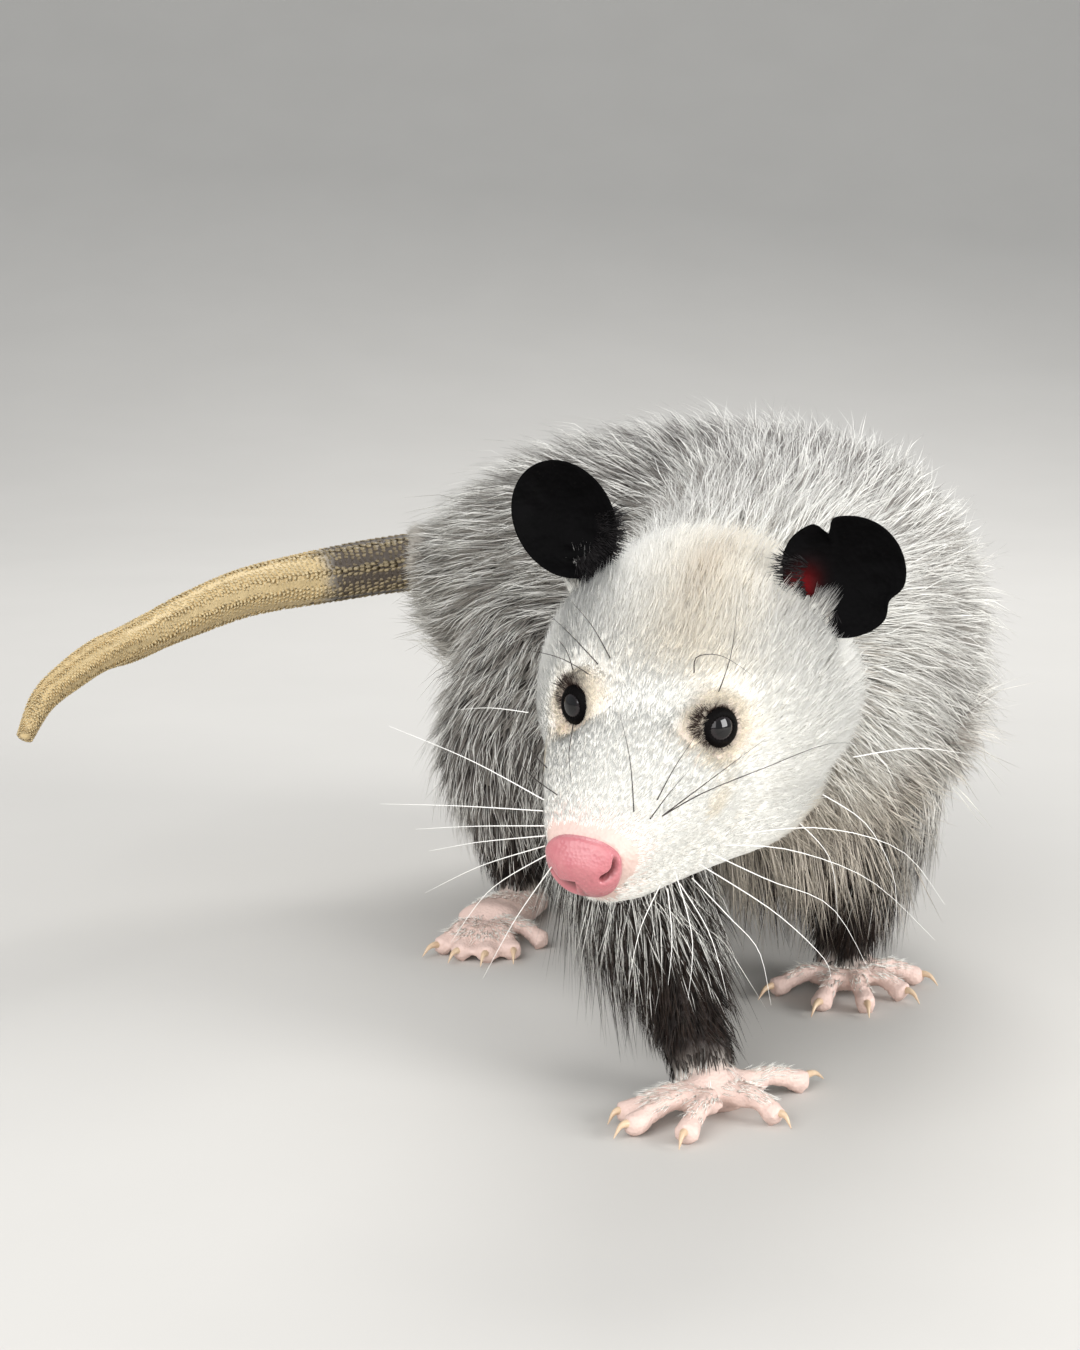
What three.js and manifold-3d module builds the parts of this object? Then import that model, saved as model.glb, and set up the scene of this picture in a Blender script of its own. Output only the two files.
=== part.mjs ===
// A standing Virginia opossum at life size, in millimetres, +Z up, with z = 0 under its feet.
// The body is fused from lofted sections and coat locks, and then parted by thin walls.
import * as THREE from 'three';
import { mergeVertices } from 'three/addons/utils/BufferGeometryUtils.js';
import Module from 'manifold-3d';

const wasm = await Module();
wasm.setup();
const { Manifold, Mesh: SolidMesh } = wasm;

// Driving dimensions
const GAP = 0.3;
const COAT_DEPTH = 12;
const LOCK_SINK = 6;
const LOCK_WIDTH = 38;
const TRUNK_ROWS = 9;
const LOCK_THICKNESS = 3.2;
const EYE_RADIUS = 6.2;
const LID_RADIUS = 1.3;
const MOUTH_RADIUS = 0.8;
const PAD_RADIUS = 3.5;
const SOLE_SQUASH = 0.55;
const FLAT_DEPTH = 0.8;
const CLAW_TIP_HEIGHT = 1;
const ANKLE_HEIGHT = 15;
const WRIST_RADIUS = 8.5;
const CLAW_RADIUS = 1.3;
const EAR_THICKNESS = 1.2;
const TRUNK_SIDES = 14;
const TRUNK_RINGS = 10;
const HEAD_SIDES = 18;
const LEG_SIDES = 8;
const TAIL_SIDES = 13;
const TAIL_STEPS = 16;
const TAIL_CUTS = [4, 10];
const TAIL_TIP_BULGE = 2.6;
const DIGIT_SIDES = 5;
const WALL_SIDES = 12;
const LEG_ROWS = [0.02, 0.27, 0.52];
const LEG_LOCKS = 5;
const LEG_LOCK_LIFT = 7;
const CHEEK_ROWS = [5, 6.3];
const CHEEK_LOCKS = 4;
const CHEEK_LOCK_WIDTH = 23;
const CHEEK_LOCK_LIFT = 8;
const EAR_CUP = 6;
const EAR_STEM_RADII = [7, 6.4, 3];
const LID_RING = 4.9;
const LID_FORWARD = 4.5;
const SQUARENESS = 0.88;

// The head turns to its right and hangs low. Its own frame runs back, left and up from the nose tip.
const HEAD_POSE = { tip: [18.2, -202.4, 86.2], yaw: 25.6, pitch: 23.4, roll: 6 };

// Trunk stations from the neck to the rump: centre, half width, rise above it and drop below it, coat included
const TRUNK = [
  { at: [51, -131, 120], wide: 36, rise: 34, drop: 34 },
  { at: [63, -102, 120], wide: 49, rise: 46, drop: 52 },
  { at: [82, -60, 114], wide: 60, rise: 62, drop: 70 },
  { at: [92, -20, 110], wide: 66, rise: 72, drop: 78 },
  { at: [93, 25, 108], wide: 69, rise: 77, drop: 80 },
  { at: [73, 72, 110], wide: 70, rise: 75, drop: 78 },
  { at: [40, 108, 110], wide: 66, rise: 70, drop: 74 },
  { at: [4, 129, 112], wide: 54, rise: 55, drop: 62 },
  { at: [-24, 138, 114], wide: 31, rise: 31, drop: 36 },
  { at: [-40, 140, 117], wide: 17, rise: 17, drop: 17 },
];
const TRUNK_CORE_END = 8.3;

// Head stations: distance behind the nose tip, half width, rise and drop
const SKULL = [
  [5.5, 10.5, 5.2, 11.5],
  [12, 15.5, 8.5, 14],
  [22, 20, 12.5, 15.5],
  [34, 25, 16, 17.5],
  [46, 30, 19, 21],
  [58, 36.8, 24.7, 27],
  [72, 41.5, 31.5, 33],
  [86, 41.5, 35, 35],
  [98, 38, 34, 34],
  [110, 31, 28, 29],
];
const JAW = [
  [9, 7.5, -7, 19],
  [16, 13, -6, 23],
  [28, 19, -5, 27],
  [42, 27, -4, 31],
  [58, 35.5, -3, 36],
  [74, 38, -3, 38],
];
const NOSE = [
  [-0.6, 4.8, 0.6, 6.6],
  [1, 8, 3, 8.6],
  [3, 9.7, 5, 10.4],
  [5.5 - GAP, 9.6, 4.8, 10.8],
];
const EYE = { back: 50.3, aside: 17, up: 12.4, look: [-0.62, 0.7, 0.35] };

const COLOURS = {
  whiteFur: 0xe9e6dc,
  greyFur: 0xa9a49a,
  darkFur: 0x3a302b,
  pinkSkin: 0xe3a3a0,
  toeSkin: 0xe8c3b4,
  earSkin: 0x17151a,
  eye: 0x0b0a0c,
  darkTail: 0x6f6355,
  paleTail: 0xd9bf86,
};

const UP = new THREE.Vector3(0, 0, 1);
const vec = (point) => new THREE.Vector3(...point);
const mix = THREE.MathUtils.lerp;

// A seeded draw, so that the coat comes out the same each time
let seed = 20;
function draw(low, high) {
  seed = (seed * 16807) % 2147483647;
  return mix(low, high, seed / 2147483647);
}

// A closed solid from corner points and triangles, turned so that its faces point out
function solidOf(points, faces) {
  let volume = 0;
  for (const [a, b, c] of faces) {
    volume += points[a].dot(points[b].clone().cross(points[c]));
  }
  const turned = volume < 0 ? faces.map(([a, b, c]) => [a, c, b]) : faces;
  return new Manifold(new SolidMesh({
    numProp: 3,
    vertProperties: Float32Array.from(points.flatMap((p) => p.toArray())),
    triVerts: Uint32Array.from(turned.flat()),
  }));
}

function solidFromGeometry(geometry, matrix = new THREE.Matrix4()) {
  geometry.deleteAttribute('normal');
  geometry.deleteAttribute('uv');
  const merged = mergeVertices(geometry, 1e-4).applyMatrix4(matrix);
  const position = merged.getAttribute('position');
  const index = merged.getIndex().array;
  const points = [];
  for (let i = 0; i < position.count; i += 1) {
    points.push(new THREE.Vector3().fromBufferAttribute(position, i));
  }
  const faces = [];
  for (let i = 0; i < index.length; i += 3) {
    const face = [index[i], index[i + 1], index[i + 2]];
    if (new Set(face).size === 3) {
      faces.push(face);
    }
  }
  return solidOf(points, faces);
}

const fuse = (solids) => Manifold.union(solids);

// The largest closed piece of a solid, without its loose scraps
function largest(solid) {
  return solid.decompose().reduce((best, piece) => (piece.volume() > best.volume() ? piece : best));
}

// A closed skin over rings of equal count. Each end closes on a point, which makes it flat or pointed.
function loft(rings, startPoint, endPoint) {
  const count = rings[0].length;
  const points = rings.flat();
  const faces = [];
  for (let i = 0; i + 1 < rings.length; i += 1) {
    for (let j = 0; j < count; j += 1) {
      const a = i * count + j;
      const b = i * count + ((j + 1) % count);
      faces.push([a, b, a + count], [b, b + count, a + count]);
    }
  }
  const last = (rings.length - 1) * count;
  const start = points.push(startPoint ?? middleOf(rings[0])) - 1;
  const end = points.push(endPoint ?? middleOf(rings.at(-1))) - 1;
  for (let j = 0; j < count; j += 1) {
    const next = (j + 1) % count;
    faces.push([start, next, j], [end, last + j, last + next]);
  }
  return solidOf(points, faces);
}

function middleOf(points) {
  const sum = new THREE.Vector3();
  points.forEach((p) => sum.add(p));
  return sum.divideScalar(points.length);
}

// A value read from a list of stations at a position between two of them, on a smooth curve
function along(values, position) {
  const last = values.length - 1;
  const i = Math.min(Math.max(Math.floor(position), 0), last - 1);
  const u = position - i;
  const before = values[Math.max(i - 1, 0)];
  const after = values[Math.min(i + 2, last)];
  const slopeA = (values[i + 1] - before) / 2;
  const slopeB = (after - values[i]) / 2;
  const step = values[i + 1] - values[i];
  return values[i] + u * (slopeA + u * ((3 * step - 2 * slopeA - slopeB) + u * (slopeA + slopeB - 2 * step)));
}

const trunkValues = {
  x: TRUNK.map((s) => s.at[0]),
  y: TRUNK.map((s) => s.at[1]),
  z: TRUNK.map((s) => s.at[2]),
  wide: TRUNK.map((s) => s.wide),
  rise: TRUNK.map((s) => s.rise),
  drop: TRUNK.map((s) => s.drop),
};

function trunkCentre(v) {
  return new THREE.Vector3(along(trunkValues.x, v), along(trunkValues.y, v), along(trunkValues.z, v));
}

function trunkHeading(v) {
  const heading = trunkCentre(v + 0.05).sub(trunkCentre(v - 0.05));
  heading.z = 0;
  return heading.normalize();
}

// A point of a rounded section: angle 0 is the animal's left side and a quarter turn is its top
function sectionPoint(centre, side, up, angle, wide, rise, drop) {
  const c = Math.cos(angle);
  const s = Math.sin(angle);
  const across = Math.sign(c) * Math.abs(c) ** SQUARENESS * wide;
  const height = Math.sign(s) * Math.abs(s) ** SQUARENESS * (s > 0 ? rise : drop);
  return centre.clone().addScaledVector(side, across).addScaledVector(up, height);
}

// The trunk's surface, with a lift of 0 on the core and of the coat's depth at the tips of the coat
function trunkPoint(v, angle, lift) {
  const inset = Math.min(COAT_DEPTH, along(trunkValues.wide, v) / 4) - lift;
  const side = new THREE.Vector3().crossVectors(trunkHeading(v), UP).negate();
  return sectionPoint(
    trunkCentre(v), side, UP, angle,
    along(trunkValues.wide, v) - inset,
    along(trunkValues.rise, v) - inset,
    along(trunkValues.drop, v) - inset,
  );
}

function headMatrix() {
  const { yaw, pitch, roll, tip } = HEAD_POSE;
  const [turn, nod, lean] = [yaw, pitch, roll].map(THREE.MathUtils.degToRad);
  const back = new THREE.Vector3(
    Math.sin(turn) * Math.cos(nod), Math.cos(turn) * Math.cos(nod), Math.sin(nod),
  );
  const level = new THREE.Vector3(Math.cos(turn), -Math.sin(turn), 0);
  const left = level.applyAxisAngle(back, lean);
  const up = new THREE.Vector3().crossVectors(left, back);
  return new THREE.Matrix4().makeBasis(back, left, up).setPosition(vec(tip));
}
const HEAD = headMatrix();
const inHead = (back, aside, up) => new THREE.Vector3(back, aside, up).applyMatrix4(HEAD);

function headSection(stations, position, angle, lift) {
  const [back, wide, rise, drop] = [0, 1, 2, 3].map((k) => along(stations.map((s) => s[k]), position));
  const point = sectionPoint(
    new THREE.Vector3(back, 0, 0), new THREE.Vector3(0, 1, 0), UP, angle,
    wide + lift, rise + lift, drop + lift,
  );
  return point.applyMatrix4(HEAD);
}

function rings(surface, from, to, steps, sides) {
  const list = [];
  for (let i = 0; i <= steps; i += 1) {
    const ring = [];
    for (let j = 0; j < sides; j += 1) {
      ring.push(surface(mix(from, to, i / steps), (j / sides) * 2 * Math.PI));
    }
    list.push(ring);
  }
  return list;
}

// A round tube through points with a radius at each and blunt rounded ends
function tube(points, radii, sides, steps, { squash = 1, grow = 0 } = {}) {
  const curve = new THREE.CatmullRomCurve3(points, false, 'centripetal');
  const list = [];
  for (let i = 0; i <= steps; i += 1) {
    const u = i / steps;
    const centre = curve.getPoint(u);
    const heading = curve.getTangent(u);
    const side = new THREE.Vector3().crossVectors(heading, UP);
    if (side.length() < 0.2) {
      side.crossVectors(heading, new THREE.Vector3(0, 1, 0));
    }
    side.normalize();
    const up = new THREE.Vector3().crossVectors(side, heading);
    const radius = along(radii, u * (radii.length - 1)) + grow;
    const ring = [];
    for (let j = 0; j < sides; j += 1) {
      const angle = (j / sides) * 2 * Math.PI;
      ring.push(centre.clone()
        .addScaledVector(side, radius * Math.cos(angle))
        .addScaledVector(up, radius * squash * Math.sin(angle)));
    }
    list.push(ring);
  }
  const bulge = 0.45;
  const start = curve.getPoint(0).addScaledVector(curve.getTangent(0), -bulge * radii[0] - grow);
  const end = curve.getPoint(1).addScaledVector(curve.getTangent(1), bulge * radii.at(-1) + grow);
  return loft(list, start, end);
}

// A flat, tapered lock of the coat. It is rooted under a surface, bends along it and lifts to its tip.
function lock(surface, { v, angle, run, swing, lift, width, thickness = LOCK_THICKNESS }) {
  const stops = [0, 0.36, 0.74];
  const widths = [1, 0.9, 0.48];
  const path = (u) => surface(v + run * u, angle + swing * u * u, mix(-LOCK_SINK, lift, u ** 0.55));
  const list = stops.map((u, i) => {
    const centre = path(u);
    const heading = path(u + 0.05).sub(centre).normalize();
    const across = surface(v + run * u, angle + swing * u * u + 0.05, 0)
      .sub(surface(v + run * u, angle + swing * u * u - 0.05, 0));
    across.addScaledVector(heading, -across.dot(heading)).normalize();
    const out = new THREE.Vector3().crossVectors(heading, across);
    const outward = Math.sign(out.dot(surface(v, angle, 1).sub(surface(v, angle, 0))));
    const half = (width / 2) * widths[i];
    const deep = thickness * (1 - 0.7 * u) * outward;
    return [
      centre.clone().addScaledVector(across, half),
      centre.clone().addScaledVector(out, deep),
      centre.clone().addScaledVector(across, -half),
    ];
  });
  return loft(list, undefined, path(1));
}

// Whether a point lies where a leg's own coat takes over from the trunk's
function overLeg(point) {
  return Object.values(LEGS).some(({ cup }) => {
    const axis = new THREE.Line3(vec(cup.from), vec(cup.to));
    return axis.closestPointToPoint(point, true, new THREE.Vector3()).distanceTo(point) < cup.radii[0];
  });
}

// Rows of locks over the trunk. They lie back and down, and are shorter under the belly.
function trunkLocks() {
  const locks = [];
  for (let row = 0; row < TRUNK_ROWS; row += 1) {
    const v = mix(0.7, 7.9, row / (TRUNK_ROWS - 1));
    const girth = Math.PI * (along(trunkValues.wide, v) + along(trunkValues.rise, v));
    const count = Math.round(girth / LOCK_WIDTH);
    for (let i = 0; i < count; i += 1) {
      const angle = ((i + (row % 2) / 2) / count) * 2 * Math.PI + draw(-0.05, 0.05);
      const below = Math.sin(angle) < -0.75;
      if (overLeg(trunkPoint(v, angle, 0))) {
        continue;
      }
      locks.push(lock(trunkPoint, {
        v: v + draw(-0.08, 0.08),
        angle,
        run: (below ? 0.9 : 1.25) * draw(0.92, 1.1),
        swing: -0.3 * Math.cos(angle),
        lift: COAT_DEPTH * (below ? 0.6 : draw(0.9, 1.15)),
        width: (girth / count) * 0.94,
      }));
    }
  }
  return locks;
}

function trunkCore() {
  const surface = (v, angle) => trunkPoint(v, angle, 0);
  const core = rings(surface, 0, TRUNK_CORE_END, TRUNK_RINGS, TRUNK_SIDES);
  return loft(core, undefined, trunkCentre(TRUNK.length - 1));
}

const ball = (centre, radius, detail = 10) => solidFromGeometry(
  new THREE.SphereGeometry(radius, detail, Math.round(detail * 0.7)),
  new THREE.Matrix4().setPosition(centre),
);

// A surface over a curved limb: position along it, angle around it and lift above it
function limbSurface({ path, radii, across = [1, 0, 0] }) {
  const points = path.map(vec);
  const curve = new THREE.CatmullRomCurve3(points, false, 'centripetal');
  return (u, angle, lift) => {
    const heading = curve.getTangent(Math.min(u, 1));
    const side = vec(across);
    side.addScaledVector(heading, -side.dot(heading)).normalize();
    const front = new THREE.Vector3().crossVectors(heading, side);
    const radius = along(radii, u * (radii.length - 1)) + lift;
    return curve.getPoint(Math.min(u, 1))
      .addScaledVector(heading, Math.max(u - 1, 0) * curve.getLength())
      .addScaledVector(side, radius * Math.cos(angle))
      .addScaledVector(front, radius * Math.sin(angle));
  };
}

const LEGS = {
  foreleg_right: {
    path: [[46, -46, 98], [38, -80, 62], [47, -112, 34], [54, -132, 12]],
    radii: [27, 23, 15, 9.5],
    cup: { from: [40, -72, 72], to: [54, -132, ANKLE_HEIGHT], radii: [34, 25] },
    outer: [-0.97, 0.1, 0],
    seed: [46, -112, 34],
  },
  foreleg_left: {
    path: [[116, -56, 98], [115, -32, 62], [111, -26, 34], [108, -26, 12]],
    radii: [25, 18, 13.5, 9.5],
    cup: { from: [115, -34, 66], to: [108, -26, ANKLE_HEIGHT], radii: [27, 24] },
    outer: [0.97, 0.1, 0],
    seed: [111, -26, 34],
  },
  hindleg_right: {
    path: [[20, 90, 92], [-2, 62, 62], [-2, 58, 34], [2, 60, 12]],
    radii: [38, 27, 15, 9],
    cup: { from: [10, 76, 84], to: [1, 58, ANKLE_HEIGHT], radii: [38, 27] },
    outer: [-0.9, -0.4, 0],
    seed: [-2, 58, 34],
  },
  hindleg_left: {
    path: [[62, 136, 92], [86, 130, 62], [84, 138, 34], [76, 150, 12]],
    radii: [36, 26, 15, 9],
    cup: { from: [76, 134, 84], to: [76, 150, ANKLE_HEIGHT], radii: [37, 27] },
    outer: [0.6, 0.8, 0],
    seed: [84, 138, 34],
  },
};

const FEET = {
  forefoot_right: {
    sole: [[55, -131], [60, -141]],
    soleRadii: [9, 12],
    digits: [[[80, -129], [91, -118]], [[72, -151], [77.4, -156.7]], [[49, -164], [46, -172]],
      [[36, -159], [28.9, -164.1]], [[34, -150], [27.6, -153.7]]],
  },
  forefoot_left: {
    sole: [[108, -25], [109, -31]],
    soleRadii: [9, 12],
    digits: [[[88, -36], [79, -45]], [[100, -51], [94, -62]], [[112, -53], [112, -63]],
      [[123, -41], [130, -49]], [[130, -25], [139, -30]]],
  },
  hindfoot_right: {
    sole: [[4, 62], [-9, 26]],
    soleRadii: [9.5, 12.5],
    digits: [[[10, 14], null], [[0, 4], [0, -6]], [[-8, 0], [-11, -9]],
      [[-16, 2], [-22, -5]], [[-22, 9], [-31, 2]]],
  },
  hindfoot_left: {
    sole: [[72, 153], [100, 133]],
    soleRadii: [9.5, 12.5],
    digits: [[[101, 112], null], [[117, 114], [125, 107]], [[122, 121], [132, 116]],
      [[123, 129], [133, 127]], [[118, 138], [128, 140]]],
  },
};

const TAIL = {
  path: [[-8, 130, 118], [-35, 136, 120], [-74, 126, 115.5], [-101, 108, 112], [-121, 88, 106], [-137, 65, 100],
    [-147, 47, 97], [-155, 32, 92], [-161, 18, 86], [-165, 8, 76]],
  radii: [12, 11.6, 10.8, 9.6, 8.5, 7.2, 6.3, 5.7, 5, 4.2],
  across: [0, 0, 1],
};

const EARS = {
  ear_right: {
    centre: [15.7, -124, 164],
    tipward: [-0.5, 0.12, 0.85],
    face: [-0.12, -0.97, 0.2],
    wide: 13.5,
    tall: 17,
    notches: [],
    root: [88, -28, 24],
  },
  ear_left: {
    centre: [90, -145, 151],
    tipward: [0.6, 0.05, 0.8],
    face: [0.15, -0.97, 0.2],
    wide: 16,
    tall: 16.5,
    notches: [[155, 12, 0.2], [2, 14, 0.18]],
    root: [88, 28, 24],
  },
};

// One leg with short locks that hang over its lower end, and longer ones over its outer side above
function leg({ path, radii, outer }) {
  const surface = limbSurface({ path, radii });
  const core = loft(rings((u, angle) => surface(u, angle, 0), 0, 1, 5, LEG_SIDES));
  const locks = [];
  for (const [row, u] of LEG_ROWS.entries()) {
    for (let i = 0; i < LEG_LOCKS; i += 1) {
      const angle = ((i + (row % 2) / 2) / LEG_LOCKS) * 2 * Math.PI;
      const away = surface(u, angle, 1).sub(surface(u, angle, 0));
      const shape = {
        v: u,
        angle,
        run: 0.36 * draw(0.9, 1.1),
        swing: draw(-0.2, 0.2),
        lift: LEG_LOCK_LIFT,
        width: ((2 * Math.PI * along(radii, u * (radii.length - 1))) / LEG_LOCKS) * 0.95,
      };
      if (row === LEG_ROWS.length - 1 || away.dot(vec(outer)) > 0.1) {
        locks.push(lock(surface, shape));
      }
    }
  }
  return fuse([core, ...locks]);
}

function foot({ sole, soleRadii, digits }) {
  const [heel, front] = sole.map(([x, y], i) => {
    const middle = soleRadii[i] * SOLE_SQUASH - FLAT_DEPTH;
    return new THREE.Vector3(x, y, middle);
  });
  const wrist = new THREE.Vector3(heel.x, heel.y, ANKLE_HEIGHT + 3);
  const solids = [
    tube([heel, front], soleRadii, 8, 3, { squash: SOLE_SQUASH }),
    tube([wrist, heel.clone().setZ(6)], [WRIST_RADIUS, WRIST_RADIUS], 8, 1),
  ];
  for (const [pad, clawTip] of digits) {
    const end = new THREE.Vector3(pad[0], pad[1], PAD_RADIUS - FLAT_DEPTH);
    const start = front.clone().lerp(end, 0.35).setZ(6);
    const knuckle = start.clone().lerp(end, 0.4).setZ(6.8);
    const path = [start, knuckle, end];
    const radii = [4, 3.1, PAD_RADIUS];
    if (clawTip) {
      const reach = new THREE.Vector3(...clawTip, CLAW_TIP_HEIGHT);
      path.push(end.clone().lerp(reach, 0.3).setZ(3.4), end.clone().lerp(reach, 0.65).setZ(3.6), reach);
      radii.push(2.3, CLAW_RADIUS, 0.5);
    }
    solids.push(tube(path, radii, DIGIT_SIDES, path.length - 1));
  }
  return fuse(solids);
}

// An ear is a thin cupped disc with a round root. Its rim may have notches at given angles.
function ear({ centre, tipward, face, wide, tall, notches, root }, grow) {
  const tip = vec(tipward).normalize();
  const out = vec(face);
  out.addScaledVector(tip, -out.dot(tip)).normalize();
  const across = new THREE.Vector3().crossVectors(tip, out);
  const spokes = 18;
  const hoops = [0.5, 1];
  const point = (reach, spoke, depth) => {
    const angle = (spoke / spokes) * 2 * Math.PI;
    let rim = 1;
    for (const [at, spread, size] of notches) {
      const away = THREE.MathUtils.euclideanModulo(THREE.MathUtils.radToDeg(angle) - at + 180, 360) - 180;
      rim -= size * Math.exp(-((away / spread) ** 2));
    }
    return vec(centre)
      .addScaledVector(across, reach * rim * (wide + grow) * Math.cos(angle))
      .addScaledVector(tip, reach * rim * (tall + grow) * Math.sin(angle))
      .addScaledVector(out, EAR_CUP * (reach ** 2 - 0.6) + depth);
  };
  const half = EAR_THICKNESS / 2 + grow;
  const hoop = (reach, depth) => Array.from({ length: spokes }, (_, spoke) => point(reach, spoke, depth));
  const frontHoops = hoops.map((reach) => hoop(reach, half));
  const backHoops = [...hoops].reverse().map((reach) => hoop(reach, -half));
  const disc = loft([...frontHoops, ...backHoops], point(0, 0, half), point(0, 0, -half));
  const base = inHead(root[0], root[1], root[2] - 5);
  const stemPath = [base, base.clone().lerp(vec(centre), 0.45), vec(centre).addScaledVector(tip, -tall * 0.35)];
  const stem = tube(stemPath, EAR_STEM_RADII, 8, 2, { grow });
  return fuse([disc, stem]);
}

const eyeCentre = (sign) => inHead(EYE.back, sign * EYE.aside, EYE.up);

function eyeLook(sign) {
  const [back, aside, up] = EYE.look;
  return inHead(back, sign * aside, up).sub(inHead(0, 0, 0)).normalize();
}

function lids(sign) {
  const torus = new THREE.TorusGeometry(LID_RING, LID_RADIUS, 4, 12);
  const look = eyeLook(sign);
  const turn = new THREE.Quaternion().setFromUnitVectors(new THREE.Vector3(0, 0, 1), look);
  const place = eyeCentre(sign).addScaledVector(look, LID_FORWARD);
  return solidFromGeometry(torus, new THREE.Matrix4().compose(place, turn, new THREE.Vector3(1, 1, 1)));
}

function headSolid() {
  const skull = loft(rings((v, angle) => headSection(SKULL, v, angle, 0), 0, SKULL.length - 1, 11, HEAD_SIDES));
  const jawTip = inHead(7, 0, -15);
  const jaw = loft(rings(jawPoint, 0, JAW.length - 1, 5, 12), jawTip);
  return fuse([skull, jaw, lids(1), lids(-1)]);
}

// The jaw's sections are centred between its upper edge and its lower edge
function jawPoint(position, angle) {
  const [back, wide, top, drop] = [0, 1, 2, 3].map((k) => along(JAW.map((s) => s[k]), position));
  const middle = (top - drop) / 2;
  const tall = (top + drop) / 2;
  const centre = new THREE.Vector3(back, 0, middle);
  return sectionPoint(centre, new THREE.Vector3(0, 1, 0), UP, angle, wide, tall, tall).applyMatrix4(HEAD);
}

function cheekLocks() {
  const surface = (v, angle, lift) => headSection(SKULL, v, angle, lift);
  const locks = [];
  for (const [row, v] of CHEEK_ROWS.entries()) {
    for (const sign of [1, -1]) {
      for (let i = 0; i < CHEEK_LOCKS; i += 1) {
        const down = THREE.MathUtils.degToRad(20 - 33 * i - row * 14);
        const angle = sign > 0 ? down : Math.PI - down;
        locks.push(lock(surface, {
          v: v + draw(-0.1, 0.1),
          angle,
          run: 2.3 * draw(0.9, 1.1),
          swing: -0.2 * sign,
          lift: CHEEK_LOCK_LIFT,
          width: CHEEK_LOCK_WIDTH,
        }));
      }
    }
  }
  return locks;
}

// A horseshoe tube that cuts the line of the mouth round the front of the muzzle
function mouthLine() {
  const side = [
    [46, 28.6, -12.5], [36, 23.3, -13.2], [26, 18, -13], [16, 13, -12.6], [9, 7.5, -12.3], [6, 0, -12.8],
  ];
  const points = side.map(([back, aside, up]) => inHead(back, aside, up));
  const mirrored = side.slice(0, -1).reverse().map(([back, aside, up]) => inHead(back, -aside, up));
  return tube([...points, ...mirrored], [MOUTH_RADIUS, MOUTH_RADIUS], 4, 14);
}

function noseSolid(grow) {
  const surface = (v, angle) => headSection(NOSE, v, angle, grow);
  const pad = loft(rings(surface, 0, NOSE.length - 1, 4, 12), inHead(-1.2 - grow, 0, -3));
  if (grow > 0) {
    return pad;
  }
  const nostrils = [1, -1].map((sign) => tube(
    [inHead(-1.6, sign * 4.7, -3), inHead(1.2, sign * 6.3, -2.6), inHead(3, sign * 9.6, -0.9),
      inHead(3.6, sign * 11.2, -0.2)],
    [2, 1.8, 1.3, 1], 6, 3,
  ));
  return largest(pad.subtract(fuse(nostrils)));
}

// A length of the tail between two of its steps, starting a gap after the first
function tailPiece(from, to, grow) {
  const surface = limbSurface(TAIL);
  const curve = new THREE.CatmullRomCurve3(TAIL.path.map(vec), false, 'centripetal');
  const start = from / TAIL_STEPS + (grow > 0 ? 0 : GAP / curve.getLength());
  const list = [];
  for (let step = from; step <= to; step += 1) {
    const u = step === from ? start : step / TAIL_STEPS;
    list.push(rings((v, angle) => surface(v, angle, grow), u, u, 1, TAIL_SIDES)[0]);
  }
  const tip = curve.getPoint(1).addScaledVector(curve.getTangent(1), TAIL_TIP_BULGE);
  return loft(list, undefined, to === TAIL_STEPS ? tip : undefined);
}

// A thin turned wall that parts the body. Its profile runs out from the axis, as radius and height.
function wall(profile, place, axis) {
  const line = profile.map(([r, h]) => new THREE.Vector2(r, h));
  const leans = line.slice(1).map((point, i) => point.clone().sub(line[i]).normalize());
  const offset = line.map((point, i) => {
    const before = leans[Math.max(i - 1, 0)];
    const after = leans[Math.min(i, leans.length - 1)];
    const normal = new THREE.Vector2(-before.y - after.y, before.x + after.x).normalize();
    return point.clone().addScaledVector(normal, GAP / normal.dot(new THREE.Vector2(-after.y, after.x)));
  });
  const lathe = new THREE.LatheGeometry([...line, ...offset.reverse()], WALL_SIDES);
  const turn = new THREE.Quaternion().setFromUnitVectors(new THREE.Vector3(0, 1, 0), axis);
  return solidFromGeometry(lathe, new THREE.Matrix4().compose(place, turn, new THREE.Vector3(1, 1, 1)));
}

function cupWall({ from, to, radii }) {
  const start = vec(from);
  const axis = vec(to).sub(start);
  const length = axis.length();
  return wall([[0, 0], [radii[0], 0], [radii[1], length]], start, axis.normalize());
}

function funnelWall(place, axis, core, flare, reach) {
  return wall([[0, 0], [core, 0], [core + flare, flare * 1.6], [reach, flare * 1.6]], place, axis);
}

function ankleWall([x, y]) {
  return wall([[0, 0], [34, 0]], new THREE.Vector3(x, y, ANKLE_HEIGHT), UP);
}

const tailWhole = tailPiece(0, TAIL_STEPS, GAP);
const floor = solidFromGeometry(
  new THREE.BoxGeometry(800, 800, 100),
  new THREE.Matrix4().setPosition(0, 0, -50),
);
const feet = Object.values(FEET);
const legs = Object.values(LEGS);
const flesh = fuse([
  trunkCore(),
  ...trunkLocks(),
  headSolid(),
  ...cheekLocks(),
  ...legs.map(leg),
  ...feet.map(foot),
]);
const walls = [
  funnelWall(inHead(86, 0, 0), trunkHeading(0.5), 34, 14, 90),
  funnelWall(trunkCentre(1.7), trunkHeading(1.7), 50, 14, 110),
  funnelWall(trunkCentre(4.2), trunkHeading(4.2), 58, 14, 120),
  ...legs.map((part) => cupWall(part.cup)),
  ...feet.map((part) => ankleWall(part.sole[0])),
  floor,
  tailWhole,
  noseSolid(GAP),
  ball(eyeCentre(1), EYE_RADIUS + GAP),
  ball(eyeCentre(-1), EYE_RADIUS + GAP),
  ear(EARS.ear_right, GAP),
  ear(EARS.ear_left, GAP),
  mouthLine(),
];
const pieces = flesh.subtract(fuse(walls)).decompose();

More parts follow.
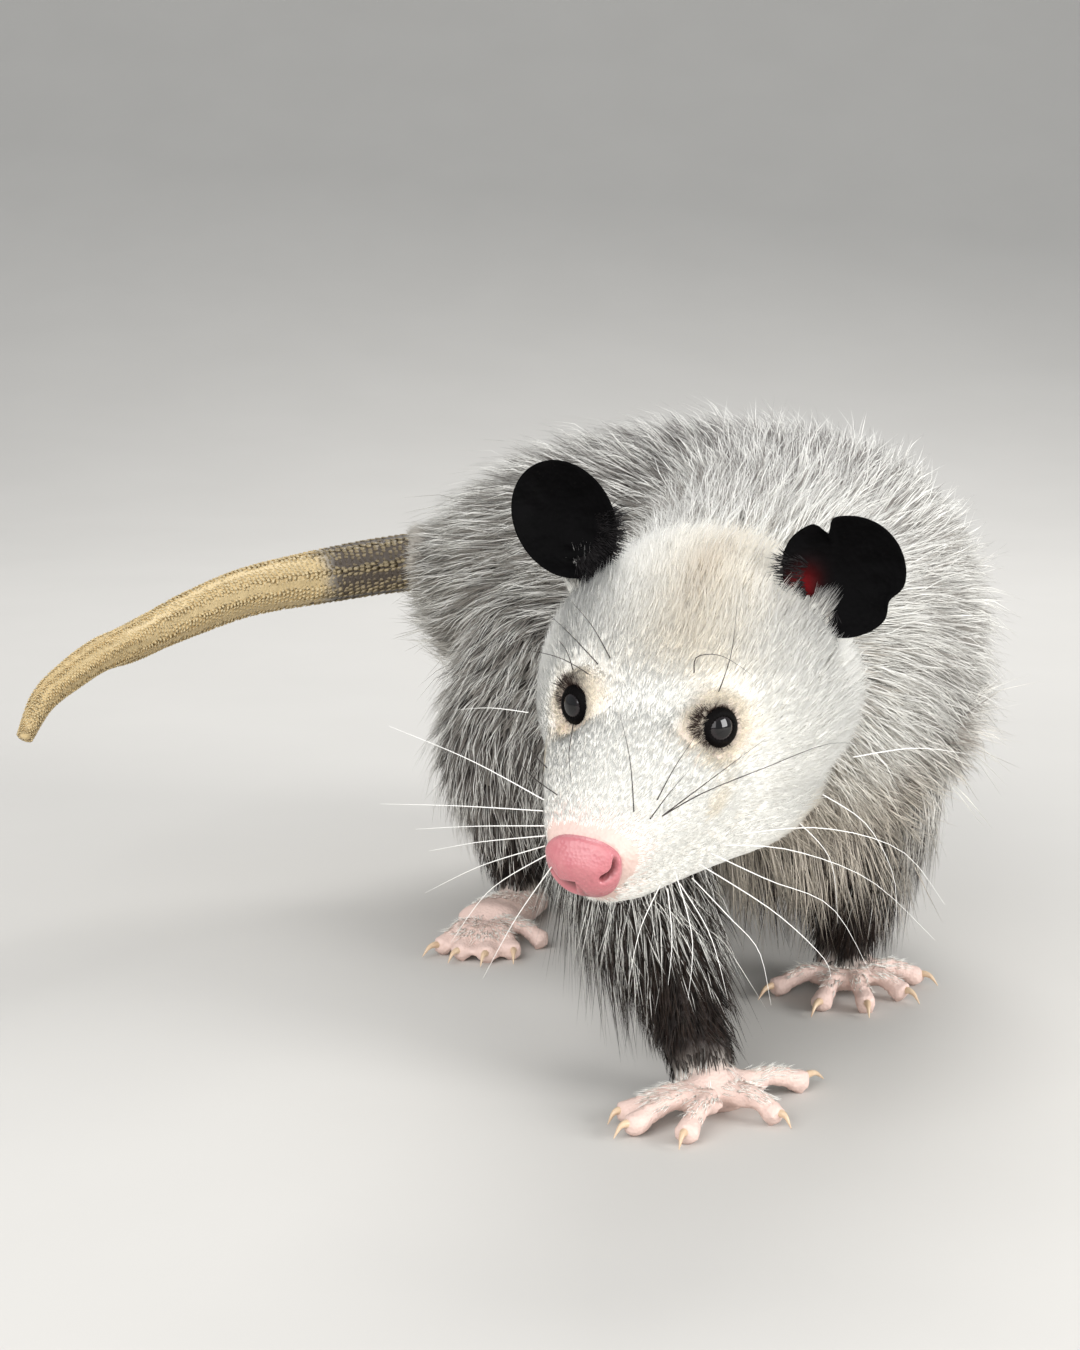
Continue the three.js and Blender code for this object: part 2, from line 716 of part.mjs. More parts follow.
// The piece of the parted body that holds a point
function pieceAt(point) {
  const probe = ball(point, 2, 6);
  const found = pieces.filter((piece) => piece.intersect(probe).volume() > 0);
  if (found.length !== 1) {
    throw new Error(`${found.length} pieces at ${point.toArray().map(Math.round)}`);
  }
  return found[0];
}

const opossum = new THREE.Group();

function addNode(name, solid, colour, roughness = 0.85) {
  const { vertProperties, triVerts } = solid.getMesh();
  const geometry = new THREE.BufferGeometry();
  geometry.setAttribute('position', new THREE.BufferAttribute(vertProperties, 3));
  geometry.setIndex(new THREE.BufferAttribute(triVerts, 1));
  const material = new THREE.MeshStandardMaterial({ color: colour, roughness, metalness: 0 });
  const mesh = new THREE.Mesh(geometry, material);
  mesh.name = name;
  opossum.add(mesh);
}

addNode('head', pieceAt(inHead(70, 0, 0)), COLOURS.whiteFur);
addNode('neck', pieceAt(trunkCentre(1.2)), COLOURS.greyFur);
addNode('torso_front', pieceAt(trunkCentre(3.2)), COLOURS.greyFur);
addNode('torso_rear', pieceAt(trunkCentre(5.2)), COLOURS.greyFur);
for (const [name, part] of Object.entries(LEGS)) {
  addNode(name, pieceAt(vec(part.seed)), COLOURS.darkFur);
}
for (const [name, part] of Object.entries(FEET)) {
  addNode(name, pieceAt(new THREE.Vector3(...part.sole[0], 6)), COLOURS.toeSkin, 0.7);
}
addNode('nose_pad', noseSolid(0), COLOURS.pinkSkin, 0.5);
addNode('eye_left', ball(eyeCentre(1), EYE_RADIUS), COLOURS.eye, 0.1);
addNode('eye_right', ball(eyeCentre(-1), EYE_RADIUS), COLOURS.eye, 0.1);
addNode('ear_left', ear(EARS.ear_left, 0), COLOURS.earSkin, 0.6);
addNode('ear_right', ear(EARS.ear_right, 0), COLOURS.earSkin, 0.6);
const [firstCut, secondCut] = TAIL_CUTS;
addNode('tail_base', tailPiece(0, firstCut, 0), COLOURS.darkTail, 0.8);
addNode('tail_middle', tailPiece(firstCut, secondCut, 0), COLOURS.paleTail, 0.8);
addNode('tail_tip', tailPiece(secondCut, TAIL_STEPS, 0), COLOURS.paleTail, 0.8);

// The origin is on the floor, under the middle of the whole figure
const middle = new THREE.Box3().setFromObject(opossum).getCenter(new THREE.Vector3());
opossum.position.set(-middle.x, -middle.y, 0);
opossum.updateMatrixWorld(true);

export default opossum;
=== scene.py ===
"""A standing Virginia opossum at life size: one skin, its coat as solid tufts, and a plain pale stage.

Shapes are worked out in millimetres in the source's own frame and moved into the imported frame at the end.
"""

import collections
import functools
import math

import bmesh
import bpy
import numpy as np
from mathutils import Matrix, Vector
from mathutils.kdtree import KDTree


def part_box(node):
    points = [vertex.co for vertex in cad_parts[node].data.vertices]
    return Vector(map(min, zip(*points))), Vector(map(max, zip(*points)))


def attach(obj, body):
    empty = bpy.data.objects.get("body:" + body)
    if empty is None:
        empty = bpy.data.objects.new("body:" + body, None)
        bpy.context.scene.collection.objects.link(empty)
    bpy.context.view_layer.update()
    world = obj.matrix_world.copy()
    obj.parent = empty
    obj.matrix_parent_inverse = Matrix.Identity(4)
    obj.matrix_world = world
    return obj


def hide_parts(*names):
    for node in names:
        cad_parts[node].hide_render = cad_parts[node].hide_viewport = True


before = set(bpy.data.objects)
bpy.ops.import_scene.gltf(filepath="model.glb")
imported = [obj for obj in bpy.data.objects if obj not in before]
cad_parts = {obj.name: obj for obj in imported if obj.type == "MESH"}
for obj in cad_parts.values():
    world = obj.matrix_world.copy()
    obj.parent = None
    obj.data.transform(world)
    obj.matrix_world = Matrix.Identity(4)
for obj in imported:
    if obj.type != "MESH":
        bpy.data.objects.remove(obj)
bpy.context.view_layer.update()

bl_info = {
    "name": "Opossum",
    "version": (1, 0, 0),
    "blender": (4, 5, 0),
    "location": "View3D > Sidebar > Opossum",
    "description": "Builds the skin, coat and details of a standing opossum",
    "category": "Add Mesh",
}

# The head turns to its right and hangs low. Its own frame runs back, left and up from the nose tip.
HEAD_TIP = np.array([18.2, -202.4, 86.2])
HEAD_YAW, HEAD_PITCH, HEAD_ROLL = 25.6, 23.4, 6.0

# Trunk stations from neck to rump: place, half width, rise and drop out to the tips of the coat
TRUNK = np.array([
    [51, -131, 120, 36, 34, 34], [63, -102, 120, 49, 46, 52], [82, -60, 114, 60, 62, 70],
    [92, -20, 110, 66, 72, 78], [93, 25, 108, 69, 77, 80], [73, 72, 110, 70, 75, 78],
    [40, 108, 110, 66, 70, 74], [4, 129, 112, 54, 55, 62], [-24, 138, 114, 31, 31, 36],
    [-40, 140, 117, 17, 17, 17],
], float)

# How far along its stations the trunk runs, how deep the body lies under the coat's tips, and the sections' power
TRUNK_END, COAT_DEPTH, SQUARENESS = 8.3, 12.0, 0.88

# Head stations: distance behind the nose tip, half width, rise and drop
SKULL = np.array([
    [5.5, 10.5, 5.2, 11.5], [12, 15.5, 8.5, 14], [22, 20, 12.5, 15.5], [34, 25, 16, 17.5], [46, 30, 19, 21],
    [58, 36.8, 24.7, 27], [72, 41.5, 31.5, 33], [86, 41.5, 35, 35], [98, 38, 34, 34], [110, 31, 28, 29],
], float)
JAW = np.array([
    [9, 7.5, -7, 19], [16, 13, -6, 23], [28, 19, -5, 27], [42, 27, -4, 31], [58, 35.5, -3, 36], [74, 38, -3, 38],
], float)

# The nose pad's stations, the grooves that the two nostrils are pressed in along, and the mouth's line from its
# corner to under the nose, all in the head's frame
NOSE = np.array([[-0.6, 5.0, 1.6, 7.0], [1, 8.2, 4.2, 9.4], [3, 9.9, 6.2, 11.3], [5.2, 9.8, 6.0, 11.6]], float)
NOSTRILS = (
    np.array([[0.2, 7.2, -2.0], [0.8, 8.6, -1.4], [2.0, 9.8, 0.4], [3.0, 10.2, 3.2]]),
    np.array([[-0.9, -1.8, -6.4], [-0.6, -3.2, -6.0], [0.2, -5.2, -5.2], [1.6, -7.4, -3.4]]),
)
MOUTH_LINE = np.array([
    [46, 28.6, -12.5], [36, 23.3, -13.2], [26, 18, -13], [16, 13, -12.6], [9, 7.5, -12.3], [6, 0, -12.8],
])

# The sides' signs, an eye's centre in the head's frame, its radius, how far its socket reaches, and the way that
# each eye looks: back, aside and up
SIDES = (("left", 1), ("right", -1))
EYE_BACK, EYE_ASIDE, EYE_UP = 50.3, 17.0, 12.4
EYE_RADIUS, SOCKET_REACH = 6.2, 13.0
EYE_LOOK = {1: (-0.5, 0.77, 0.40), -1: (-0.78, 0.48, 0.36)}

# Legs: the path from the trunk to the ankle, and the radius at each of its points
LEGS = {
    "foreleg_right": ([[46, -46, 98], [38, -80, 62], [47, -112, 34], [54, -132, 12]], [27, 23, 15, 9.5]),
    "foreleg_left": ([[116, -56, 98], [115, -32, 62], [111, -26, 34], [108, -26, 12]], [25, 18, 13.5, 9.5]),
    "hindleg_right": ([[20, 90, 92], [-2, 62, 62], [-2, 58, 34], [2, 60, 12]], [38, 27, 15, 9]),
    "hindleg_left": ([[62, 136, 92], [86, 130, 62], [84, 138, 34], [76, 150, 12]], [36, 26, 15, 9]),
}

# Feet: heel and front of the sole, their radii, and each toe's pad and claw tip
FEET = {
    "forefoot_right": ([[55, -131], [60, -141]], [9, 12], [
        [[80, -129], [91, -118]], [[72, -151], [77.4, -156.7]], [[49, -164], [46, -172]],
        [[36, -159], [28.9, -164.1]], [[34, -150], [27.6, -153.7]]]),
    "forefoot_left": ([[108, -25], [109, -31]], [9, 12], [
        [[88, -36], [79, -45]], [[100, -51], [94, -62]], [[112, -53], [112, -63]],
        [[123, -41], [130, -49]], [[130, -25], [139, -30]]]),
    "hindfoot_right": ([[4, 62], [-9, 26]], [9.5, 12.5], [
        [[10, 14], None], [[0, 4], [0, -6]], [[-8, 0], [-11, -9]], [[-16, 2], [-22, -5]], [[-22, 9], [-31, 2]]]),
    "hindfoot_left": ([[72, 153], [100, 133]], [9.5, 12.5], [
        [[101, 112], None], [[117, 114], [125, 107]], [[122, 121], [132, 116]],
        [[123, 129], [133, 127]], [[118, 138], [128, 140]]]),
}

# The wrist's height, the flatness of a sole, how deep it is cut flat, the height of a toe's pad, and the share of
# its claw that a pad reaches along
WRIST_HEIGHT, SOLE_SQUASH, FLAT_DEPTH = 19.0, 0.55, 0.8
PAD_RADIUS, TOE_REACH = 3.5, 0.35

# The tail's path from its root to its tip, and its radius at each point
TAIL_PATH = np.array([
    [-8, 130, 118], [-35, 136, 120], [-74, 126, 115.5], [-101, 108, 112], [-121, 88, 106], [-137, 65, 100],
    [-147, 47, 97], [-155, 32, 92], [-161, 18, 86], [-165, 8, 76],
], float)
TAIL_RADII = np.array([12, 11.6, 10.8, 9.6, 8.5, 7.2, 6.3, 5.7, 4.8, 3.4])
TAIL_LAST = len(TAIL_PATH) - 1

# How deep the tail's skin lies under its scales, and the shares of its length where its fur and its dark end
TAIL_SKIN_DEPTH = 0.7
TAIL_FUR_END = 0.125
TAIL_DARK_END = 0.21

# Ears: middle, way to the tip, way of the hollow, half width and height, the rim's notches as angle, spread and
# depth, the root in the head's frame, and the fringe's range of angles
Ear = collections.namedtuple("Ear", "middle tipward hollow wide tall notches root fringe")
EARS = {
    "ear_right": Ear([15.7, -124, 164], [-0.5, 0.12, 0.85], [-0.12, -0.97, 0.2], 13.5, 17,
                     [], [88, -28, 19], (-110, -15)),
    "ear_left": Ear([90, -145, 151], [0.6, 0.05, 0.8], [0.15, -0.97, 0.2], 16, 16.5,
                    [[150, 5.5, 0.24], [185, 26, -0.13], [8, 13, 0.16]], [88, 28, 19], (-165, -60)),
}
EAR_CUP, EAR_THICKNESS = 6.0, 1.2

# The camera's place in the source's frame, its tilt up from straight down, its lens and the width of its sensor
CAMERA_FOOT = (9.0, -750.0, 231.0)
CAMERA_TILT = 80.0
CAMERA_LENS = 61.07
CAMERA_SENSOR = 36.0

# Whiskers: points along each, as back, left and up from the nose tip
DARK_WHISKERS = [
    [[57.5, -13.0, 23.0], [60.9, -19.1, 29.8], [63.3, -25.9, 35.2]],
    [[55.9, -15.9, 21.6], [63.0, -26.6, 24.5], [81.5, -43.2, 18.5]],
    [[51.2, -13.8, 19.7], [51.4, -24.6, 24.7], [49.7, -36.6, 26.6]],
    [[55.4, -23.0, 18.6], [58.4, -26.0, 22.5], [81.0, -40.9, 11.7]],
    [[15.2, 9.5, 8.5], [24.2, 5.4, 17.2], [37.6, -2.6, 22.1]],
    [[37.9, -16.0, 14.1], [24.2, -11.3, 15.1], [13.2, -5.9, 14.4]],
    [[52.6, 18.0, 19.5], [60.6, 19.5, 28.2], [73.1, 17.0, 35.3]],
    [[56.9, 10.6, 23.3], [57.0, 11.6, 28.4], [57.8, 18.1, 29.4], [57.0, 26.4, 25.7]],
    [[20.8, 13.5, 9.0], [27.7, 16.3, 15.6], [38.4, 19.2, 20.2]],
    [[15.7, 13.5, 6.8], [19.6, 17.0, 12.2], [26.9, 20.0, 15.4]],
    [[18.3, 15.7, 6.3], [30.5, 24.1, 10.7], [47.0, 33.0, 13.9]],
    [[18.3, 15.7, 6.3], [27.9, 23.6, 8.7], [46.6, 33.4, 5.5], [62.7, 44.3, 4.0], [102.9, 41.9, -24.4]],
    [[16.4, -11.8, 8.0], [17.6, -19.4, 11.7], [19.9, -26.4, 17.0]],
    [[26.8, -19.1, 7.5], [28.8, -23.9, 10.2], [31.9, -29.1, 15.5]],
]
WHITE_WHISKERS = [
    [[16.8, -15.8, 5.2], [18.6, -36.7, 11.9], [19.0, -59.4, 17.5]],
    [[13.8, -14.9, 4.1], [11.0, -37.0, 2.6], [8.1, -58.7, 0.4]],
    [[9.5, -12.8, 3.0], [7.6, -31.4, -0.1], [6.3, -48.0, -4.0]],
    [[7.7, -11.9, 1.4], [5.6, -29.4, -3.2], [4.5, -43.9, -8.8]],
    [[8.5, -12.6, -2.6], [4.9, -29.8, -10.6], [1.4, -44.9, -20.5]],
    [[2.2, -9.1, 0.2], [-2.1, -23.9, -11.5], [-6.6, -34.5, -27.9]],
    [[2.3, -8.0, -3.2], [-1.9, -17.8, -19.8], [-6.4, -26.5, -38.0]],
    [[67.6, -43.5, -7.4], [69.1, -56.1, -9.4], [70.0, -68.2, -13.2]],
    [[23.1, 16.3, -14.7], [15.7, 23.1, -29.1], [6.6, 24.8, -42.0]],
    [[33.8, 21.9, -15.5], [35.4, 36.9, -21.9], [37.5, 53.1, -28.4], [33.1, 65.0, -44.1]],
    [[30.4, 20.0, -17.0], [31.6, 39.4, -28.6], [30.4, 52.8, -39.2], [27.5, 56.1, -43.3]],
    [[30.2, 18.0, -22.0], [28.4, 28.2, -30.6], [26.4, 37.1, -38.5], [20.5, 42.1, -50.6]],
    [[26.3, 16.1, -21.3], [21.8, 25.6, -32.4], [14.6, 32.6, -46.5]],
    [[22.3, 14.3, -20.3], [15.2, 17.7, -30.8], [7.9, 19.0, -39.6]],
    [[78.0, 46.6, -10.3], [91.3, 60.1, -13.6], [102.5, 73.3, -20.8]],
    [[72, 40, -20], [80, 50, -34], [86, 56, -56], [84, 57, -76]],
    [[66, 35, -26], [72, 42, -42], [72, 44, -64]],
    [[18.8, 13.8, -16.6], [9.9, 11.3, -25.0], [0.8, 11.0, -35.9]],
    [[37.1, 23.5, -15.0], [42.2, 40.7, -16.3], [45.7, 60.9, -23.9], [44.6, 78.6, -38.4]],
    [[42.0, 25.8, -14.8], [49.9, 46.3, -13.5], [54.3, 66.4, -19.2], [51.7, 79.2, -32.1]],
]

MILLIMETRES = 1000.0

# The side of a strand's patch in the coat's unwrap
PATCH = 0.003

# The half width and half height of the opening between the lids, over its distance from the eye's centre
LID_WIDE, LID_TALL = 1.0, 0.9

# By a strand's number of rings: its width at each over its full width, and where its rings and its tip stand
TAPER = {1: [1.0], 2: [0.85, 0.8]}
STOPS = {1: [0, 1], 2: [0, 0.5, 1]}

# A strand's ridge over its half width, how far its points stay off the floor, and the width of a lash
STRAND_RIDGE = 0.4
STRAND_FLOOR = 0.3
FINE_HAIR = 0.26

# The coat's pieces: how many strands each has, and the seed of its random draws
COAT = {
    "face_fur_left": (48000, 1), "face_fur_right": (48000, 2), "toe_hair": (4000, 3),
    "eye_fringe_left": (1200, 4), "eye_fringe_right": (1200, 4),
    "nape_underfur": (12000, 11), "nape_guard_hair": (15000, 12),
    "torso_front_underfur": (26000, 20), "torso_rear_underfur": (26000, 21),
    "torso_front_awn_hair": (20000, 30), "torso_rear_awn_hair": (20000, 31),
    "torso_front_guard_hair": (11000, 40), "torso_rear_guard_hair": (11000, 41),
    "leg_underfur": (14000, 51), "leg_guard_hair": (9000, 52), "chest_guard_hair": (12000, 53),
    "tail_root_fur": (4000, 54),
}
LASHES, EAR_HAIRS = 420, 900

# The coat's length and how far it stands off, read at a distance behind the nose tip on the head and trunk, and at
# a share of the way along on the legs, the tail and the ears' stems
FACE_LENGTH = [0, 8, 24, 48, 66, 84, 104], [1.8, 2.4, 3.8, 5.2, 8.0, 12.0, 17]
TRUNK_LENGTH = [86, 150], [21, 32]
LEG_LENGTH = [0, 0.5, 0.8, 1], [27, 21, 14, 9]
TAIL_LENGTH = [0, 0.08, TAIL_FUR_END, 1], [18, 11, 5, 2.5]
STEM_LENGTH = [0, 1], [10, 4]
ANKLE_LENGTH, FOOT_LENGTH, SHORTEST_FACE = 7.0, 4.0, 1.8
FACE_STAND = [52, 72, 92], [0.12, 0.5, 1.1]
TRUNK_STAND = [90, 140], [0.7, 1.0]
STEM_STAND, LEG_STAND = 0.5, 0.9

# Rounds of smoothing for what the coat reads from the skin, and the place where the torso's coat is parted
EASE_ROUNDS = 14
TORSO_SPLIT = 15.0

# The sizes of the skin's mottling and of its pores, which are drawn coarser than in life so that they show
SKIN_MOTTLE, SKIN_PORE = 3.846, 0.909

EAR_SEED, SCALE_SEED, LASH_SEED = 7, 11, 13

# Lamps as name, place, size and power, all in metres and watts. The floor is flat from its front to its bend, and its
# sweep is the radius of the quarter circle behind that.
LAMPS = (
    ("key", (-0.8, -1.4, 1.1), 1.4, 26.0),
    ("front", (0.2, -1.9, 0.7), 1.0, 8.0),
    ("side", (1.45, -0.75, 0.55), 0.8, 21.0),
    ("rim", (0.3, 1.2, 1.4), 0.9, 18.0),
)
SKY_STRENGTH = 0.55
FLOOR_HALF_WIDTH, FLOOR_FRONT, FLOOR_BEND, FLOOR_SWEEP = 5.0, -3.0, 1.2, 2.4

# The kinds of part that the skin is fused from, and the nodes that it takes the place of
HEAD, TRUNK_PART, TAIL, FORELEG, HINDLEG, FOOT, EAR_STEM = range(7)
FLESH = [
    "head", "neck", "torso_front", "torso_rear", "foreleg_left", "foreleg_right", "hindleg_left", "hindleg_right",
    "forefoot_left", "forefoot_right", "hindfoot_left", "hindfoot_right", "tail_base", "tail_middle", "tail_tip",
]


def linear(hex_colour):
    """An sRGB hex colour as linear light with full alpha."""
    parts = [int(hex_colour[i:i + 2], 16) / 255 for i in (1, 3, 5)]
    return [c / 12.92 if c <= 0.04045 else ((c + 0.055) / 1.055) ** 2.4 for c in parts] + [1.0]


def unit(vectors):
    """Vectors along the last axis, each divided by its length."""
    vectors = np.asarray(vectors, float)
    return vectors / np.maximum(np.linalg.norm(vectors, axis=-1, keepdims=True), 1e-9)


def smoothstep(low, high, value):
    """The cubic that rises from 0 at low to 1 at high and is flat outside them."""
    t = np.clip((np.asarray(value, float) - low) / (high - low), 0, 1)
    return t * t * (3 - 2 * t)


def head_frame():
    """The head's back, left and up axes: yaw and pitch turn the first, and roll turns the other two round it."""
    yaw, pitch, roll = np.radians([HEAD_YAW, HEAD_PITCH, HEAD_ROLL])
    back = np.array([np.sin(yaw) * np.cos(pitch), np.cos(yaw) * np.cos(pitch), np.sin(pitch)])
    level = np.array([np.cos(yaw), -np.sin(yaw), 0])
    left = level * np.cos(roll) + np.cross(back, level) * np.sin(roll)
    return np.stack([back, left, np.cross(left, back)])


HEAD_AXES = head_frame()


def in_head(points):
    """Points given as back, left and up from the nose tip, in the body's frame."""
    return np.asarray(points, float) @ HEAD_AXES + HEAD_TIP


def to_head(points):
    """Points of the body's frame as back, left and up from the nose tip."""
    return (np.asarray(points, float) - HEAD_TIP) @ HEAD_AXES.T


def eye_centre(sign):
    """An eye's centre: the sign is 1 for the left eye and -1 for the right one."""
    return in_head([EYE_BACK, sign * EYE_ASIDE, EYE_UP])


def eye_look(sign):
    """The way that an eye looks, as a unit vector."""
    back, aside, up = EYE_LOOK[sign]
    return unit(np.array([back, sign * aside, up]) @ HEAD_AXES)


def eye_axes(sign):
    """An eye's centre, the way it looks, and the ways aside and up that stand square to that."""
    centre, look = eye_centre(sign), eye_look(sign)
    side = unit(np.cross(HEAD_AXES[2], look))
    return centre, look, side, np.cross(look, side)


def frame_shift():
    """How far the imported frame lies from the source's frame, in millimetres, read from the two eyes."""
    shift = np.zeros(3)
    for side_name, sign in SIDES:
        low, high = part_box("eye_" + side_name)
        shift += (np.array(low) + np.array(high)) / 2 * MILLIMETRES - eye_centre(sign)
    return shift / 2


SHIFT = frame_shift()


def along(values, position):
    """A Catmull-Rom curve through the rows of values, read at an array of positions."""
    values = np.asarray(values, float)
    position = np.asarray(position, float)
    last = len(values) - 1
    i = np.clip(np.floor(position), 0, last - 1).astype(int)
    u = (position - i).reshape(position.shape + (1,) * (values.ndim - 1))
    here, there = values[i], values[i + 1]
    slope_a = (there - values[np.maximum(i - 1, 0)]) / 2
    slope_b = (values[np.minimum(i + 2, last)] - here) / 2
    step = there - here
    return here + u * (slope_a + u * ((3 * step - 2 * slope_a - slope_b) + u * (slope_a + slope_b - 2 * step)))


def section(angles, wide, rise, drop):
    """Offsets across and up of a superellipse with its own rise and drop: signed powers of cosine and sine."""
    c, s = np.cos(angles), np.sin(angles)
    across = np.sign(c) * np.abs(c) ** SQUARENESS * wide
    up = np.sign(s) * np.abs(s) ** SQUARENESS * np.where(s > 0, rise, drop)
    return across, up


def ring_grid(first, last, rows, sides):
    """A grid's two parameters: rows from first to last, and equal angles round each of them."""
    return np.meshgrid(np.linspace(first, last, rows), np.arange(sides) / sides * 2 * np.pi, indexing="ij")


def trunk_grid(lift, rows=90, sides=72):
    """The trunk: superellipses whose centre and half sizes run through the stations, set off by the lift."""
    v, angle = ring_grid(0, TRUNK_END, rows, sides)
    values = along(TRUNK, v)
    heading = along(TRUNK[:, :3], v + 0.05) - along(TRUNK[:, :3], v - 0.05)
    heading[..., 2] = 0
    heading = unit(heading)
    side = np.cross(heading, [0, 0, 1.0]) * -1
    inset = np.minimum(COAT_DEPTH, values[..., 3] / 4) - lift
    across, up = section(angle, values[..., 3] - inset, values[..., 4] - inset, values[..., 5] - inset)
    points = values[..., :3] + side * across[..., None] + np.array([0, 0, 1.0]) * up[..., None]
    return points, v / TRUNK_END, angle


def skull_grid(lift, rows=70, sides=64):
    """The skull: superellipses that run back from the nose in the head's own frame."""
    v, angle = ring_grid(0, len(SKULL) - 1, rows, sides)
    values = along(SKULL, v)
    across, up = section(angle, values[..., 1] + lift, values[..., 2] + lift, values[..., 3] + lift)
    return in_head(np.stack([values[..., 0], across, up], -1)), v / (len(SKULL) - 1), angle


def jaw_grid(lift, rows=40, sides=48):
    """The jaw: superellipses between an upper and a lower edge that run back under the skull."""
    v, angle = ring_grid(0, len(JAW) - 1, rows, sides)
    values = along(JAW, v)
    half = (values[..., 2] + values[..., 3]) / 2 + lift
    across, up = section(angle, values[..., 1] + lift, half, half)
    middle = (values[..., 2] - values[..., 3]) / 2
    return in_head(np.stack([values[..., 0], across, middle + up], -1)), v / (len(JAW) - 1), angle


def path_axes(path, position, across):
    """A path's points, and the ways aside and in front there.

    Both stand square to the path's heading, and the first is as near as can be to the way across.
    """
    heading = unit(along(path, position + 0.02) - along(path, position - 0.02))
    side = np.broadcast_to(np.asarray(across, float), heading.shape)
    side = unit(side - heading * (side * heading).sum(-1, keepdims=True))
    return along(path, position), side, np.cross(heading, side)


def tube_grid(path, radii, rows, sides, across=(1.0, 0, 0), squash=1.0):
    """Circles carried along a smooth path, each turned square to it, with the radius read along it."""
    position, angle = ring_grid(0, len(path) - 1, rows, sides)
    centre, side, front = path_axes(path, position, across)
    radius = along(radii, position * (len(radii) - 1) / (len(path) - 1))[..., None]
    points = centre + radius * (side * np.cos(angle)[..., None] + squash * front * np.sin(angle)[..., None])
    return points, position / (len(path) - 1), angle


def outward(points, triangles):
    """The triangles of a closed skin, turned round if they face inwards, which makes its volume negative."""
    a, b, c = [points[triangles[:, k]] for k in range(3)]
    return triangles[:, ::-1] if (a * np.cross(b, c)).sum() < 0 else triangles


def shell(grid, start=None, end=None):
    """A closed skin over a grid of rings: quads between them and a fan of triangles to a point at each end."""
    rows, sides = grid.shape[:2]
    start = grid[0].mean(0) if start is None else start
    end = grid[-1].mean(0) if end is None else end
    points = np.concatenate([grid.reshape(-1, 3), [start, end]])
    i, j = np.meshgrid(np.arange(rows - 1), np.arange(sides), indexing="ij")
    a, b = (i * sides + j).ravel(), (i * sides + (j + 1) % sides).ravel()
    quads = np.stack([a, b, b + sides, a + sides], 1)
    first = np.arange(sides)
    second = (first + 1) % sides
    base = (rows - 1) * sides
    count = rows * sides
    fans = np.concatenate([
        np.stack([np.full(sides, count), second, first], 1),
        np.stack([np.full(sides, count + 1), base + first, base + second], 1),
    ])
    return points, outward(points, np.concatenate([quads[:, [0, 1, 2]], quads[:, [0, 2, 3]], fans]))


def joined(shells):
    """Several closed skins as one set of points and triangles."""
    points, triangles, offset = [], [], 0
    for some_points, some_triangles in shells:
        points.append(some_points)
        triangles.append(some_triangles + offset)
        offset += len(some_points)
    return np.concatenate(points), np.concatenate(triangles)


def new_mesh(name, points, faces):
    """A mesh from arrays of points in millimetres and of faces with the same number of corners."""
    mesh = bpy.data.meshes.new(name)
    mesh.vertices.add(len(points))
    mesh.vertices.foreach_set("co", np.asarray(points, np.float32).ravel())
    corners = faces.shape[1]
    mesh.loops.add(faces.size)
    mesh.loops.foreach_set("vertex_index", np.asarray(faces, np.int32).ravel())
    mesh.polygons.add(len(faces))
    mesh.polygons.foreach_set("loop_start", np.arange(0, faces.size, corners, dtype=np.int32))
    mesh.update(calc_edges=True)
    mesh.validate()
    return mesh


def placed(name, data):
    """A mesh, lamp or camera as an object of the scene."""
    item = bpy.data.objects.new(name, data)
    bpy.context.scene.collection.objects.link(item)
    return item


def new_piece(name, points, faces, material, slot, attributes=None, patch=None):
    """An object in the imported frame, with smooth shading, point attributes and a UV map OFBake where one is given."""
    mesh = new_mesh(name, (np.asarray(points) + SHIFT) / MILLIMETRES, faces)
    mesh.shade_smooth()
    for key, values in (attributes or {}).items():
        values = np.asarray(values, np.float32)
        colour = values.ndim == 2
        layer = mesh.attributes.new(key, "FLOAT_COLOR" if colour else "FLOAT", "POINT")
        layer.data.foreach_set("color" if colour else "value", values.ravel())
    if patch is not None:
        corner = np.zeros(len(mesh.loops), np.int32)
        mesh.loops.foreach_get("vertex_index", corner)
        layer = mesh.uv_layers.new(name="OFBake")
        layer.data.foreach_set("uv", np.asarray(patch, np.float32)[corner].ravel())
    mesh.materials.append(material)
    piece = placed(name, mesh)
    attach(piece, "root")
    return piece


def toe_path(front, pad):
    """A toe's path from inside the sole over its knuckle to its pad."""
    end = np.array([pad[0], pad[1], PAD_RADIUS - FLAT_DEPTH])
    start = front + (end - front) * 0.35
    start[2] = 6.0
    knuckle = start + (end - start) * 0.4
    knuckle[2] = 6.8
    return np.stack([start, knuckle, end])


def toe_end(pad, claw):
    """Where a toe's pad lies: towards the claw's tip by a share of the claw, so that only its horn stands clear."""
    return np.array(pad, float) if claw is None else np.array(pad) + TOE_REACH * (np.array(claw) - np.array(pad))


def foot_parts(sole, radii, toes, leg_kind):
    """The grids of a foot: a flat sole, a wrist and a tube for each toe with a swollen pad."""
    heel, front = [np.array([x, y, r * SOLE_SQUASH - FLAT_DEPTH]) for (x, y), r in zip(sole, radii)]
    wrist = np.array([heel[0], heel[1], WRIST_HEIGHT])
    parts = [
        (FOOT, *tube_grid([heel, front], radii, 14, 24, across=(1, 0.01, 0), squash=SOLE_SQUASH)),
        (leg_kind, *tube_grid([wrist, heel * [1, 1, 0] + [0, 0, 5]], [7.4, 8.2], 8, 24)),
    ]
    for toe in toes:
        path = toe_path(front, toe_end(*toe))
        parts.append((FOOT, *tube_grid(path, [4.4, 3.3, 3.0, 3.1, 3.8], 22, 16, across=(0.02, 0.01, 1))))
    return parts


def kind_of_leg(name):
    """The kind of the leg that a leg's or foot's name speaks of."""
    return FORELEG if name.startswith("fore") else HINDLEG


